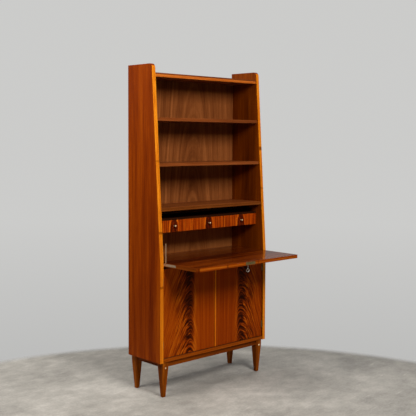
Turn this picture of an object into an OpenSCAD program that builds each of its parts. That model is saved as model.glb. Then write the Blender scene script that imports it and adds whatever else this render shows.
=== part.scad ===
// Secretary desk: a narrow bookcase over a drop-flap writing compartment and a two-door cupboard,
// on a frame with four tapered legs. The flap is drawn open, the doors and drawers shut.
// +X is to the right, +Y to the back, +Z up. The origin is on the floor, midway between the open
// flap's free edge and the back of the sides. Lengths are millimetres.

/* [Overall] */
// Width over the two sides
overall_width = 820; // [680:1:1000]
// Height from the floor to the top of the sides
overall_height = 1785; // [1480:1:2150]
// Depth of a side below the writing height
side_depth = 275; // [225:1:340]
// Depth of a side at its top
top_depth = 204; // [165:1:220]
// Height of the writing surface, where the front starts to lean back
desk_height = 733; // [640:1:800]
// Height of the underside of the sides
leg_height = 192; // [140:1:240]

/* [Boards] */
// Thickness of a side
side_thickness = 22; // [18:0.5:28]
// Radius of a side's top front corner
side_corner_radius = 24; // [8:1:40]
// Thickness of the top board
top_thickness = 22; // [16:0.5:28]
// How far the top board lies below the top of the sides
top_board_drop = 47; // [20:1:80]
// Thickness of a bookcase shelf
shelf_thickness = 18; // [12:0.5:24]
// How far a bookcase shelf stays behind the front
shelf_setback = 8; // [2:0.5:20]
// How far the middle bay is taller than the others
middle_bay_extra = 5; // [0:0.5:12]
// Thickness of the writing compartment's roof
roof_thickness = 18; // [14:0.5:24]
// How far the top board and the roof stay behind the front
fixed_board_setback = 3; // [1:0.5:8]
// Thickness of the desk floor
floor_thickness = 20; // [16:0.5:26]
// Thickness of the cupboard's bottom board
bottom_thickness = 18; // [14:0.5:24]
// How far the sides hang below the bottom board
side_overhang = 4; // [0:0.5:10]
// Thickness of the back panel
back_thickness = 6; // [3:0.5:10]
// Depth of the back panel's rebate, measured from the back edge to the panel's inner face
back_rebate = 11.3; // [8:0.1:16]
// How far a board's end is let into a side
housing_depth = 5; // [3:0.5:8]

/* [Flap] */
// Distance from the pivot to the flap's free edge
flap_length = 276; // [230:1:300]
// Thickness of the flap
flap_thickness = 20; // [18:0.5:24]
// How far the pivot lies behind the front
pivot_setback = 10; // [9:0.5:14]
// Gap between the flap and a side
flap_side_gap = 1.5; // [0.8:0.1:3]
// Gap between the flap's round rear edge and the desk floor
flap_floor_gap = 0.8; // [0.5:0.1:2]
// Depth of the flap's front lipping
lipping_depth = 18; // [10:0.5:24]
// Width of the flap's end lippings
end_lipping_width = 12; // [6:0.5:20]
// Radius of the flap's pivot pins
pivot_pin_radius = 4; // [2.5:0.1:5]
// Depth of a pivot pin in the side
pivot_pin_in_side = 12; // [8:0.5:16]
// Depth of a pivot pin in the flap
pivot_pin_in_flap = 22; // [14:0.5:30]
// Length of the stay arm's plate in front of the sides
stay_plate_length = 95; // [60:1:120]
// Height of the stay arm's plate
stay_plate_height = 13; // [8:0.5:15]
// Thickness of the stay arm
stay_thickness = 2; // [1.5:0.1:4]
// How far the stay arm stands above the flap
stay_arm_rise = 104; // [60:1:125]
// Width of the upright part of the stay arm
stay_arm_width = 6; // [4:0.5:10]

/* [Lock] */
// Length of the lock plate in the flap's free edge
lock_plate_length = 73; // [60:1:90]
// Height of the lock plate
lock_plate_height = 16; // [14:0.5:17]
// Thickness of the lock plate
lock_plate_thickness = 1.5; // [1:0.1:2.5]
// Width of the lock case
lock_case_width = 60; // [40:1:70]
// Depth of the lock case behind the lock plate
lock_case_depth = 38; // [34:1:46]
// Thickness of the lock case
lock_case_height = 12; // [11:0.5:13]
// Wall of the lock case
lock_case_wall = 1.5; // [1:0.1:2]
// Distance from the free edge to the key's axis
key_backset = 21; // [19:0.5:23]
// Radius of the key's stem
key_stem_radius = 1.9; // [1.5:0.1:2.2]
// How far the key hangs below the flap
key_drop = 42; // [34:1:50]
// Width of the lock bolt
bolt_width = 22; // [14:1:30]
// Thickness of the lock bolt
bolt_thickness = 3.5; // [2.5:0.1:4]
// Length of the lock bolt
bolt_length = 35; // [33:1:36]
// How far the lock bolt shoots
bolt_throw = 8; // [4:0.5:9]

/* [Drawers] */
// Height of the open slot above the drawers
slot_height = 44; // [25:1:70]
// Clear height of the writing compartment under its roof
compartment_height = 270; // [264:1:330]
// How far the drawer fronts lie behind the lower front
drawer_setback = 63; // [50:1:80]
// Thickness of the board over the drawers
case_top_thickness = 10; // [8:0.5:14]
// Thickness of the board under the drawers
case_bottom_thickness = 7; // [5:0.5:10]
// Height of a drawer front
drawer_front_height = 65; // [50:1:80]
// Thickness of a drawer front
drawer_front_thickness = 14; // [10:0.5:18]
// Gap between two drawer fronts
drawer_front_gap = 1.5; // [0.8:0.1:3]
// Thickness of a divider between drawers
divider_thickness = 8; // [5:0.5:12]
// Thickness of a drawer's sides and back
drawer_wall = 8; // [5:0.5:10]
// Thickness of a drawer's bottom
drawer_bottom_thickness = 4; // [3:0.5:6]
// Running gap beside and above a drawer
drawer_gap = 0.8; // [0.5:0.1:2]
// Radius of a drawer knob
knob_radius = 6.5; // [4:0.5:9]
// How far a drawer knob stands out
knob_projection = 16; // [10:0.5:20]

/* [Doors] */
// Thickness of a door
door_thickness = 16; // [12:0.5:20]
// How far the doors lie behind the front
door_setback = 10; // [9:0.5:14]
// Gap above the doors, for the fingers
door_top_gap = 15; // [8:0.5:25]
// Gap below the doors
door_bottom_gap = 2; // [1.5:0.1:4]
// Gap between a door and a side
door_side_gap = 1.7; // [1.6:0.1:3]
// Gap between the two doors
door_meeting_gap = 3; // [2.5:0.1:4]
// Width of the strip along the right door's meeting edge
strip_width = 10; // [6:0.5:14]
// How far that strip stands proud of the door
strip_projection = 4; // [2:0.5:5]
// Height of a door hinge
hinge_height = 40; // [30:1:60]
// Thickness of a hinge leaf
hinge_leaf = 1.5; // [1:0.1:1.5]
// Radius of a hinge knuckle
hinge_knuckle_radius = 3; // [2.5:0.1:3]
// Radius of a hinge pin
hinge_pin_radius = 1.5; // [1:0.1:1.8]
// Distance from a door's end to the nearer end of its hinge
hinge_inset = 50; // [25:1:90]
// Height of the rail over the doors
head_rail_height = 23; // [18:1:35]
// Thickness of the rail over the doors
head_rail_thickness = 18; // [14:0.5:24]
// Height of the cupboard shelf above the bottom board, as measured to its underside
cupboard_shelf_rise = 232; // [150:1:300]
// Thickness of the cupboard shelf
cupboard_shelf_thickness = 16; // [12:0.5:22]
// How far the cupboard shelf stays behind the doors
cupboard_shelf_setback = 12; // [6:1:40]
// Distance of a door catch from the middle
catch_offset = 30; // [20:1:80]
// Radius of a door catch
catch_radius = 4; // [3:0.5:5]

/* [Base] */
// Width of a leg at its top
leg_top_width = 42; // [34:1:54]
// Width of a leg at the floor
leg_foot_width = 20; // [14:1:30]
// Distance from a side's inner face to a leg
leg_side_inset = 1; // [0.5:0.5:20]
// Distance from the front to a front leg
leg_front_inset = 9; // [4:1:30]
// Height of the aprons
apron_height = 31; // [22:1:45]
// Thickness of the aprons
apron_thickness = 18; // [14:0.5:24]
// How far an apron lies behind the outer face of its legs
apron_inset = 5; // [2:0.5:12]
// Radius of the studs in the front legs
stud_radius = 5; // [3:0.5:7]
// How far the studs lie below the aprons
stud_drop = 3; // [0:0.5:12]

/* [Fastenings] */
// Radius of a shelf pin
shelf_pin_radius = 2.5; // [2:0.1:3]
// Depth of a shelf pin in the side, and how far it stands out
shelf_pin_depth = 8; // [6:0.5:10]
// Distance from a shelf's front and back edges to its pins
shelf_pin_inset = 35; // [20:1:50]
// Number of screws down each edge of the back panel
back_screw_count = 8; // [4:1:10]
// Radius of a back screw's shank
back_screw_radius = 1.5; // [1:0.1:2]
// Radius of a back screw's head
back_screw_head = 3.2; // [2.5:0.1:3.5]
// Length of a back screw
back_screw_length = 20; // [14:1:25]
// Clearance around fixed pins, screws and catches
fixed_gap = 0.02; // [0.02:0.01:0.1]
// Radial clearance of a turning pin
turning_gap = 0.05; // [0.03:0.01:0.1]
// Clearance around a loose or inlaid piece
fit_gap = 0.2; // [0.1:0.05:0.4]

/* [Hidden] */
$fn = 64;

CHERRY = "#9c4a17";
EDGE = "#e09428";
SHELF = "#7d4423";
BACK = "#8a5530";
FLAME = "#a8480f";
DRAWER_WOOD = "#c9a26b";
BRASS = "#c9a75c";
STEEL = "#9a938a";

left = -1;
right = 1;
cut = 1; // how far a cutting solid runs past the face that it cuts

half_width = overall_width / 2;
inner_half = half_width - side_thickness;
lean = (side_depth - top_depth) / (overall_height - desk_height);
lean_angle = atan(lean);
function front_y(z) = z <= desk_height ? 0 : (z - desk_height) * lean;

// the origin lies midway between the open flap's free edge and the back
flap_reach = flap_length - pivot_setback;
frame_shift = (flap_reach - side_depth) / 2;

back_y = side_depth - back_rebate;
rebate_lip = 14; // what the rebate leaves of a side's thickness
rebate_width = side_thickness - rebate_lip;
board_half = inner_half + housing_depth;

top_z = overall_height - top_board_drop - top_thickness;
roof_z = desk_height + compartment_height;
roof_top = roof_z + roof_thickness;
bay = (top_z - roof_top - 2 * shelf_thickness) / 3;
lower_shelf_z = roof_top + bay;
upper_shelf_z = lower_shelf_z + shelf_thickness + bay + middle_bay_extra;
floor_z = desk_height - floor_thickness;
bottom_z = leg_height + side_overhang;
bottom_top = bottom_z + bottom_thickness;

pivot_y = pivot_setback;
pivot_z = desk_height - flap_thickness / 2;
nose_radius = flap_thickness / 2;
flap_underside = desk_height - flap_thickness;
flap_half = inner_half - flap_side_gap;
free_edge_y = pivot_y - flap_length;
lipping_y = free_edge_y + lipping_depth;
floor_front_y = pivot_y + nose_radius + flap_floor_gap;
closed_angle = 90 + lean_angle;

stay_plate_back = pivot_y - pivot_pin_radius - 3;
stay_arm_y = -14;
stay_head_depth = 1;
stay_screw_count = 3;
stay_screw_radius = 1.5;
stay_screw_head = 3;
stay_screw_length = 9;
stay_screw_first = 12 - stay_plate_length;
stay_screw_last = -22;
stay_screw_step = (stay_screw_last - stay_screw_first) / (stay_screw_count - 1);
pivot_pin_end_gap = 1;

key_y = free_edge_y + key_backset;
lock_mid_z = pivot_z;
case_front_y = free_edge_y + lock_plate_thickness;
case_bottom_z = lock_mid_z - lock_case_height / 2;
case_top_z = lock_mid_z + lock_case_height / 2;
cavity_top = case_top_z - lock_case_wall;
cavity_bottom = case_bottom_z + lock_case_wall;
bolt_clearance = 0.3;
bolt_z = cavity_top - bolt_clearance - bolt_thickness;
keyhole_play = 0.6;
key_slot = key_stem_radius + keyhole_play;
bit_length = 6.5;
bit_height = 3.6;
bit_thickness = 2;
bit_gap = 0.4;
bit_z = cavity_bottom + bit_gap;
key_end_gap = 0.5;
key_collar = 1.2;
key_collar_height = 2;
escutcheon_radius = 7;
escutcheon_thickness = 1.2;
bow_radius = 10;
bow_spread = 2.5;
bow_wall = 3.4;
bow_thickness = 3;
bow_z = flap_underside - key_drop + bow_radius;

drawer_case_z = roof_z - slot_height - case_top_thickness;
front_play = 1; // above a drawer front, and from its lower edge up to the board under the drawers
front_top = drawer_case_z - front_play;
front_bottom = front_top - drawer_front_height;
case_floor_z = front_bottom + front_play;
case_floor_top = case_floor_z + case_bottom_thickness;
pitch = 2 * inner_half / 3;
drawer_back_gap = 10;
drawer_back_y = back_y - drawer_back_gap;
box_front = drawer_setback + drawer_front_thickness;
case_front = box_front + 0.5;
box_half = (pitch - divider_thickness) / 2 - drawer_gap;
drawer_floor_gap = 0.3;
box_bottom = case_floor_top + drawer_floor_gap;
box_top_drop = 4; // how much lower a drawer's sides are than the room allows
box_top = drawer_case_z - drawer_gap - box_top_drop;
groove_depth = 3;
groove_rise = 4;
groove_z = box_bottom + groove_rise;
knob_z = (front_top + front_bottom) / 2;
knob_shank_radius = 3;
knob_spindle_radius = 2;
knob_dome = 4;
knob_rim = 3;
knob_base_thickness = 1.5;
knob_nut_thickness = 2;

door_top = flap_underside - door_top_gap;
door_bottom = bottom_top + door_bottom_gap;
door_outer = inner_half - door_side_gap;
door_back_y = door_setback + door_thickness;
hinge_x = inner_half - hinge_knuckle_radius;
hinge_gap = 0.4;
hinge_y = door_setback - hinge_knuckle_radius - hinge_gap;
hinge_leaf_front = door_setback;
hinge_leaf_back = door_back_y - 1;
hinge_pin_head = 1.5;
hinge_zs = [door_bottom + hinge_inset, door_top - hinge_inset - hinge_height];
knuckle_gap = 0.3;
knuckle = (hinge_height - 2 * knuckle_gap) / 3;
outer_knuckles = [0, 2 * (knuckle + knuckle_gap)];
middle_knuckle = [knuckle + knuckle_gap];
strip_left = -0.5;
rail_gap = 1;
rail_front_y = door_back_y + rail_gap;
shelf_front_y = door_back_y + cupboard_shelf_setback;
cupboard_shelf_z = bottom_top + cupboard_shelf_rise;
catch_y = door_setback + door_thickness / 2;
catch_length = 12;
ball_radius = 3;
ball_gap = 0.3;
ball_rise = door_bottom_gap - ball_gap;

leg_outer = inner_half - leg_side_inset;
leg_inner = leg_outer - leg_top_width;
back_leg_y = side_depth - leg_top_width;
apron_z = bottom_z - apron_height;
stud_z = apron_z - stud_drop;
stud_dome = 3;
stud_shank_radius = 2.5;
stud_shank_length = 11;
front_leg_mid_y = leg_front_inset + leg_top_width / 2;
back_leg_mid_y = back_leg_y + leg_top_width / 2;
leg_mid_x = leg_outer - leg_top_width / 2;

// [height of the shelf's underside, front edge, back edge]
pinned_shelves = [
    [upper_shelf_z, front_y(upper_shelf_z + shelf_thickness) + shelf_setback, back_y],
    [lower_shelf_z, front_y(lower_shelf_z + shelf_thickness) + shelf_setback, back_y],
    [cupboard_shelf_z, shelf_front_y, back_y]
];

screw_end = 30; // from the end of a row of back screws to the end of the panel
function screw_z(i) = bottom_z + screw_end
    + i * (top_z - bottom_z - 2 * screw_end) / (back_screw_count - 1);
screw_x = inner_half + rebate_width / 2;
screw_head_depth = 2;
cross_screw_xs = [-inner_half * 0.6, 0, inner_half * 0.6];
cross_screw_zs = [bottom_z + bottom_thickness / 2, floor_z + floor_thickness / 2,
    roof_z + roof_thickness / 2];

strike_half_width = 20;
strike_half_depth = 7;
strike_thickness = 1.5;
strike_slot_half = bolt_width / 2 + 1;
strike_slot_depth = 3.2;
// where the shut flap's bolt meets the roof
strike_y = pivot_y - flap_length * cos(closed_angle)
    + (bolt_z + bolt_thickness / 2 - pivot_z) * sin(closed_angle);

module to_frame() translate([0, frame_shift, 0]) children();

// a block between two corners
module block(low, high) translate(low) cube(high - low);

// a board that spans the sides and is let into both
module housed_board(y0, y1, z0, z1) {
    block([-board_half, y0, z0], [board_half, y1, z1]);
}

// turns a (y, z) outline into a solid that runs along x from x0 to x1
module along_x(x0, x1) {
    translate([x0, 0, 0]) rotate([90, 0, 90]) linear_extrude(height = x1 - x0) children();
}

module bore_x(x0, x1, y, z, r) {
    translate([x0, y, z]) rotate([0, 90, 0]) cylinder(h = x1 - x0, r = r);
}

module bore_y(y0, y1, x, z, r) {
    translate([x, y0, z]) rotate([-90, 0, 0]) cylinder(h = y1 - y0, r = r);
}

module bore_z(z0, z1, x, y, r) translate([x, y, z0]) cylinder(h = z1 - z0, r = r);

// ---- sides ----

module side_outline() {
    r = side_corner_radius;
    top_y = front_y(overall_height);
    centre = [top_y + r * (1 - sin(lean_angle)) / cos(lean_angle), overall_height - r];
    tangent_z = centre[1] + r * sin(lean_angle);
    difference() {
        polygon([[0, leg_height], [0, desk_height], [top_y, overall_height],
            [side_depth, overall_height], [side_depth, leg_height]]);
        difference() {
            translate([top_y - r, tangent_z]) square([centre[0] - top_y + r, r + cut]);
            translate(centre) circle(r = r);
        }
    }
}

module side(hand) {
    inner = hand * inner_half;
    difference() {
        along_x(hand < 0 ? -half_width : inner_half, hand < 0 ? -inner_half : half_width)
            side_outline();
        // rebate for the back panel
        block([hand < 0 ? -inner_half - rebate_width : inner_half - cut, back_y, leg_height - cut],
            [hand < 0 ? -inner_half + cut : inner_half + rebate_width, side_depth + cut, top_z]);
        // housings for the fixed boards
        housed_board(front_y(top_z + top_thickness) + fixed_board_setback, side_depth + cut, top_z,
            top_z + top_thickness);
        housed_board(front_y(roof_top) + fixed_board_setback, back_y + cut, roof_z, roof_top);
        housed_board(floor_front_y, back_y + cut, floor_z, desk_height);
        housed_board(fixed_board_setback, back_y + cut, bottom_z, bottom_top);
        // pivot bore
        bore_x(inner_half * hand - (hand < 0 ? pivot_pin_in_side : cut),
            inner_half * hand + (hand < 0 ? cut : pivot_pin_in_side), pivot_y, pivot_z,
            pivot_pin_radius + fixed_gap);
        // shelf pin holes
        for (s = pinned_shelves, y = [s[1] + shelf_pin_inset, s[2] - shelf_pin_inset])
            bore_x(inner - shelf_pin_depth, inner + shelf_pin_depth, y, s[0] - shelf_pin_radius,
                shelf_pin_radius + fixed_gap);
        pilot_holes();
    }
}

module left_side() color(CHERRY) to_frame() side(left);
module right_side() color(CHERRY) to_frame() side(right);

// ---- boards between the sides ----

module top_board() color(EDGE) to_frame()
    housed_board(front_y(top_z + top_thickness) + fixed_board_setback, side_depth, top_z,
        top_z + top_thickness);

module loose_shelf(z, y0, y1, thickness) {
    block([-inner_half + fit_gap, y0, z], [inner_half - fit_gap, y1, z + thickness]);
}

module upper_shelf() color(SHELF) to_frame()
    loose_shelf(upper_shelf_z, pinned_shelves[0][1], back_y - fit_gap, shelf_thickness);

module lower_shelf() color(SHELF) to_frame()
    loose_shelf(lower_shelf_z, pinned_shelves[1][1], back_y - fit_gap, shelf_thickness);

module strike_place() translate([0, strike_y, roof_z]) children();

module compartment_roof() color(EDGE) to_frame() difference() {
    housed_board(front_y(roof_top) + fixed_board_setback, back_y, roof_z, roof_top);
    strike_place() block([-strike_half_width, -strike_half_depth, -cut],
        [strike_half_width, strike_half_depth, strike_thickness]);
    strike_place() block([-strike_slot_half, -strike_slot_depth, -cut],
        [strike_slot_half, strike_slot_depth, bolt_throw + 1]);
    pilot_holes();
}

// pilot holes for all the back screws
module pilot_holes() {
    for (hand = [left, right], i = [0 : back_screw_count - 1])
        pilot_hole(hand * screw_x, screw_z(i));
    for (x = cross_screw_xs, z = cross_screw_zs) pilot_hole(x, z);
}

module pilot_hole(x, z) {
    bore_y(back_y - back_screw_length, side_depth, x, z, back_screw_radius + fixed_gap);
}

module desk_floor() color(CHERRY) to_frame() difference() {
    housed_board(floor_front_y, back_y, floor_z, desk_height);
    pilot_holes();
}

module bottom_board() color(EDGE) to_frame() difference() {
    union() {
        housed_board(fixed_board_setback, back_y, bottom_z, bottom_top);
        block([-inner_half, 0, bottom_z], [inner_half, fixed_board_setback, bottom_top]);
    }
    pilot_holes();
    for (hand = [left, right])
        bore_z(bottom_top - catch_length, bottom_top + cut, hand * catch_offset, catch_y,
            catch_radius + fixed_gap);
}

module door_head_rail() color(CHERRY) to_frame()
    block([-inner_half, rail_front_y, floor_z - head_rail_height],
        [inner_half, rail_front_y + head_rail_thickness, floor_z]);

module cupboard_shelf() color(SHELF) to_frame()
    loose_shelf(cupboard_shelf_z, shelf_front_y, back_y - fit_gap, cupboard_shelf_thickness);

module back_panel() color(BACK) to_frame() difference() {
    block([-inner_half - rebate_width + fit_gap, back_y, bottom_z],
        [inner_half + rebate_width - fit_gap, back_y + back_thickness, top_z - fit_gap]);
    for (hand = [left, right], i = [0 : back_screw_count - 1])
        panel_screw_hole(hand * screw_x, screw_z(i));
    for (x = cross_screw_xs, z = cross_screw_zs) panel_screw_hole(x, z);
}

module panel_screw_hole(x, z) {
    bore_y(back_y - cut, back_y + back_thickness + cut, x, z, back_screw_radius + fixed_gap);
    bore_y(back_y + back_thickness - screw_head_depth, back_y + back_thickness + cut, x, z,
        back_screw_head + fixed_gap);
}

module back_screw(x, z) {
    bore_y(back_y + back_thickness - screw_head_depth, back_y + back_thickness, x, z, back_screw_head);
    bore_y(back_y + back_thickness - back_screw_length, back_y + back_thickness, x, z,
        back_screw_radius);
}

module back_screws() color(STEEL) to_frame() {
    for (hand = [left, right], i = [0 : back_screw_count - 1])
        back_screw(hand * screw_x, screw_z(i));
    for (x = cross_screw_xs, z = cross_screw_zs) back_screw(x, z);
}

module shelf_pins() color(BRASS) to_frame()
    for (hand = [left, right], s = pinned_shelves,
            y = [s[1] + shelf_pin_inset, s[2] - shelf_pin_inset])
        bore_x(hand * inner_half - shelf_pin_depth, hand * inner_half + shelf_pin_depth, y,
            s[0] - shelf_pin_radius, shelf_pin_radius);

// ---- drawer case ----

module drawer_case_top() color(FLAME) to_frame()
    block([-inner_half, drawer_setback, drawer_case_z],
        [inner_half, back_y, drawer_case_z + case_top_thickness]);

module drawer_case_bottom() color(DRAWER_WOOD) to_frame()
    block([-inner_half, case_front, case_floor_z], [inner_half, back_y, case_floor_top]);

module drawer_dividers() color(DRAWER_WOOD) to_frame()
    for (hand = [left, right])
        block([hand * pitch / 2 - divider_thickness / 2, case_front, case_floor_top],
            [hand * pitch / 2 + divider_thickness / 2, back_y, drawer_case_z]);

// ---- drawers: index -1 is the left one, 0 the middle one, 1 the right one ----

module at_drawer(index) to_frame() translate([index * pitch, 0, 0]) children();

module drawer_front(index) color(FLAME) at_drawer(index) difference() {
    half = (pitch - drawer_front_gap) / 2;
    block([-half, drawer_setback, front_bottom], [half, box_front, front_top]);
    bottom_groove();
    bore_y(drawer_setback - cut, box_front + cut, 0, knob_z, knob_spindle_radius + fixed_gap);
}

// the groove that holds the drawer's bottom on three sides
module bottom_groove() {
    block([-box_half + drawer_wall - groove_depth, box_front - groove_depth, groove_z],
        [box_half - drawer_wall + groove_depth, drawer_back_y + cut,
            groove_z + drawer_bottom_thickness]);
}

module drawer_sides(index) color(DRAWER_WOOD) at_drawer(index) difference() {
    for (hand = [left, right])
        translate([hand * (box_half - drawer_wall / 2), 0, 0])
            block([-drawer_wall / 2, box_front, box_bottom],
                [drawer_wall / 2, drawer_back_y, box_top]);
    bottom_groove();
}

module drawer_back(index) color(DRAWER_WOOD) at_drawer(index)
    block([-box_half + drawer_wall, drawer_back_y - drawer_wall, groove_z
        + drawer_bottom_thickness], [box_half - drawer_wall, drawer_back_y, box_top]);

module drawer_bottom(index) color(DRAWER_WOOD) at_drawer(index)
    block([-box_half + drawer_wall - groove_depth, box_front - groove_depth, groove_z],
        [box_half - drawer_wall + groove_depth, drawer_back_y,
            groove_z + drawer_bottom_thickness]);

// radius of the sphere whose cap has that base radius and height
function dome_sphere(r, height) = (r * r + height * height) / (2 * height);

// a turned knob with a domed head on a short neck, and the spindle that holds it in the front
module drawer_knob(index) color(BRASS) at_drawer(index)
    translate([0, drawer_setback, knob_z]) rotate([90, 0, 0]) {
        dome_radius = dome_sphere(knob_radius, knob_dome);
        dome_z = knob_projection - knob_dome;
        neck_top = dome_z - knob_rim;
        nut_z = -drawer_front_thickness - knob_nut_thickness;
        cylinder(h = knob_base_thickness, r = knob_radius - 1.5);
        cylinder(h = neck_top, r = knob_shank_radius);
        translate([0, 0, neck_top]) cylinder(h = knob_rim, r = knob_radius);
        intersection() {
            translate([0, 0, knob_projection - dome_radius]) sphere(r = dome_radius);
            translate([0, 0, dome_z]) cylinder(h = knob_dome + cut, r = knob_radius);
        }
        translate([0, 0, nut_z]) cylinder(h = cut - nut_z, r = knob_spindle_radius);
        translate([0, 0, nut_z]) cylinder(h = knob_nut_thickness, r = knob_shank_radius);
    }

module left_drawer_front() drawer_front(-1);
module left_drawer_sides() drawer_sides(-1);
module left_drawer_back() drawer_back(-1);
module left_drawer_bottom() drawer_bottom(-1);
module left_drawer_knob() drawer_knob(-1);
module middle_drawer_front() drawer_front(0);
module middle_drawer_sides() drawer_sides(0);
module middle_drawer_back() drawer_back(0);
module middle_drawer_bottom() drawer_bottom(0);
module middle_drawer_knob() drawer_knob(0);
module right_drawer_front() drawer_front(1);
module right_drawer_sides() drawer_sides(1);
module right_drawer_back() drawer_back(1);
module right_drawer_bottom() drawer_bottom(1);
module right_drawer_knob() drawer_knob(1);

// ---- base ----

// A leg stands straight as high as the aprons and tapers evenly below them.
module leg(x, y) translate([x, y, 0]) intersection() {
    top = leg_top_width / 2;
    foot = leg_foot_width / 2;
    reach = leg_top_width;
    outline = [[-foot, 0], [foot, 0], [top, apron_z], [top, bottom_z], [-top, bottom_z],
        [-top, apron_z]];
    along_x(-reach, reach) polygon(outline);
    rotate([0, 0, 90]) along_x(-reach, reach) polygon(outline);
}

module stud_hole(hand) {
    bore_y(leg_front_inset - cut, leg_front_inset + stud_shank_length + cut, hand * leg_mid_x,
        stud_z, stud_shank_radius + fixed_gap);
}

module front_leg(hand) difference() {
    leg(hand * leg_mid_x, front_leg_mid_y);
    stud_hole(hand);
}

module front_left_leg() color(CHERRY) to_frame() front_leg(left);
module front_right_leg() color(CHERRY) to_frame() front_leg(right);
module back_left_leg() color(CHERRY) to_frame() leg(left * leg_mid_x, back_leg_mid_y);
module back_right_leg() color(CHERRY) to_frame() leg(right * leg_mid_x, back_leg_mid_y);

module leg_studs() color(BRASS) to_frame()
    for (hand = [left, right]) {
        bore_y(leg_front_inset - cut, leg_front_inset + stud_shank_length, hand * leg_mid_x,
            stud_z, stud_shank_radius);
        translate([hand * leg_mid_x, leg_front_inset, stud_z]) rotate([90, 0, 0]) intersection() {
            dome_radius = dome_sphere(stud_radius, stud_dome);
            translate([0, 0, stud_dome - dome_radius]) sphere(r = dome_radius);
            cylinder(h = stud_dome + cut, r = stud_radius);
        }
    }

module front_apron() color(CHERRY) to_frame()
    block([-leg_inner, leg_front_inset + apron_inset, apron_z],
        [leg_inner, leg_front_inset + apron_inset + apron_thickness, bottom_z]);

module back_apron() color(CHERRY) to_frame()
    block([-leg_inner, side_depth - apron_inset - apron_thickness, apron_z],
        [leg_inner, side_depth - apron_inset, bottom_z]);

module side_apron(hand) {
    middle = hand * (leg_outer - apron_inset - apron_thickness / 2);
    block([middle - apron_thickness / 2, leg_front_inset + leg_top_width, apron_z],
        [middle + apron_thickness / 2, back_leg_y, bottom_z]);
}

module left_apron() color(CHERRY) to_frame() side_apron(left);
module right_apron() color(CHERRY) to_frame() side_apron(right);

// ---- flap ----

// the flap's section in (y, z), from the front lipping back to its half-round rear edge
module flap_section() {
    translate([lipping_y, flap_underside]) square([pivot_y - lipping_y, flap_thickness]);
    translate([pivot_y, pivot_z]) circle(r = nose_radius);
}

module pivot_bores() {
    for (hand = [left, right])
        bore_x(hand * flap_half - pivot_pin_in_flap, hand * flap_half + pivot_pin_in_flap, pivot_y,
            pivot_z, pivot_pin_radius + turning_gap);
}

module keyhole(z0, z1) {
    bore_z(z0, z1, 0, key_y, key_slot);
    block([-bit_thickness / 2 - bit_gap, key_y, z0],
        [bit_thickness / 2 + bit_gap, key_y + bit_length + keyhole_play, z1]);
}

module lock_mortise() {
    block([-lock_case_width / 2 - fit_gap, free_edge_y - cut, case_bottom_z],
        [lock_case_width / 2 + fit_gap, case_front_y + lock_case_depth + fit_gap, case_top_z]);
    block([-lock_plate_length / 2 - fit_gap, free_edge_y - cut, lock_mid_z
        - lock_plate_height / 2 - fit_gap], [lock_plate_length / 2 + fit_gap, case_front_y,
            lock_mid_z + lock_plate_height / 2 + fit_gap]);
    keyhole(flap_underside - cut, case_bottom_z + cut);
    bore_z(flap_underside - cut, flap_underside + escutcheon_thickness, 0, key_y,
        escutcheon_radius + fixed_gap);
}

module flap_panel() color(CHERRY) to_frame() difference() {
    along_x(-flap_half + end_lipping_width, flap_half - end_lipping_width) flap_section();
    pivot_bores();
    lock_mortise();
}

module flap_front_lipping() color(EDGE) to_frame() difference() {
    block([-flap_half, free_edge_y, flap_underside], [flap_half, lipping_y, desk_height]);
    lock_mortise();
}

module flap_end_lippings() color(EDGE) to_frame() difference() {
    union() {
        along_x(-flap_half, -flap_half + end_lipping_width) flap_section();
        along_x(flap_half - end_lipping_width, flap_half) flap_section();
    }
    pivot_bores();
    stay_plate(fit_gap, cut);
    for (i = [0 : stay_screw_count - 1])
        bore_x(-flap_half - cut, -flap_half + stay_screw_length, stay_screw_y(i), pivot_z,
            stay_screw_radius + fixed_gap);
}

function stay_screw_y(i) = stay_screw_first + i * stay_screw_step;

// the plate let into the flap's left end, larger all round by gap and standing out by proud
module stay_plate(gap, proud) {
    block([-flap_half - proud, -stay_plate_length - gap, pivot_z - stay_plate_height / 2 - gap],
        [-flap_half + stay_thickness, stay_plate_back + gap,
            pivot_z + stay_plate_height / 2 + gap]);
    block([-flap_half - proud, stay_arm_y - stay_arm_width / 2 - gap, pivot_z],
        [-flap_half + stay_thickness, stay_arm_y + stay_arm_width / 2 + gap,
            desk_height + gap]);
}

module stay_arm() color(BRASS) to_frame() difference() {
    arm_top = desk_height + stay_arm_rise - stay_arm_width / 2;
    union() {
        stay_plate(0, 0);
        block([-flap_half, stay_arm_y - stay_arm_width / 2, pivot_z],
            [-flap_half + stay_thickness, stay_arm_y + stay_arm_width / 2, arm_top]);
        bore_x(-flap_half, -flap_half + stay_thickness, stay_arm_y, arm_top, stay_arm_width / 2);
    }
    for (i = [0 : stay_screw_count - 1]) {
        bore_x(-flap_half - cut, -flap_half + stay_thickness + cut, stay_screw_y(i), pivot_z,
            stay_screw_radius + fixed_gap);
        bore_x(-flap_half - cut, -flap_half + stay_head_depth, stay_screw_y(i), pivot_z,
            stay_screw_head + fixed_gap);
    }
}

module stay_screws() color(STEEL) to_frame()
    for (i = [0 : stay_screw_count - 1]) {
        bore_x(-flap_half, -flap_half + stay_head_depth, stay_screw_y(i), pivot_z,
            stay_screw_head);
        bore_x(-flap_half, -flap_half + stay_screw_length, stay_screw_y(i), pivot_z,
            stay_screw_radius);
    }

module flap_pivot_pins() color(STEEL) to_frame()
    for (hand = [left, right])
        mirror([hand < 0 ? 1 : 0, 0, 0])
            bore_x(flap_half - pivot_pin_in_flap + pivot_pin_end_gap,
                inner_half + pivot_pin_in_side, pivot_y, pivot_z, pivot_pin_radius);

// ---- lock ----

module bolt_opening() {
    block([-bolt_width / 2 - bolt_clearance, free_edge_y - cut, bolt_z - bolt_clearance],
        [bolt_width / 2 + bolt_clearance, case_front_y + lock_case_wall + cut,
            bolt_z + bolt_thickness + bolt_clearance]);
}

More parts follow.
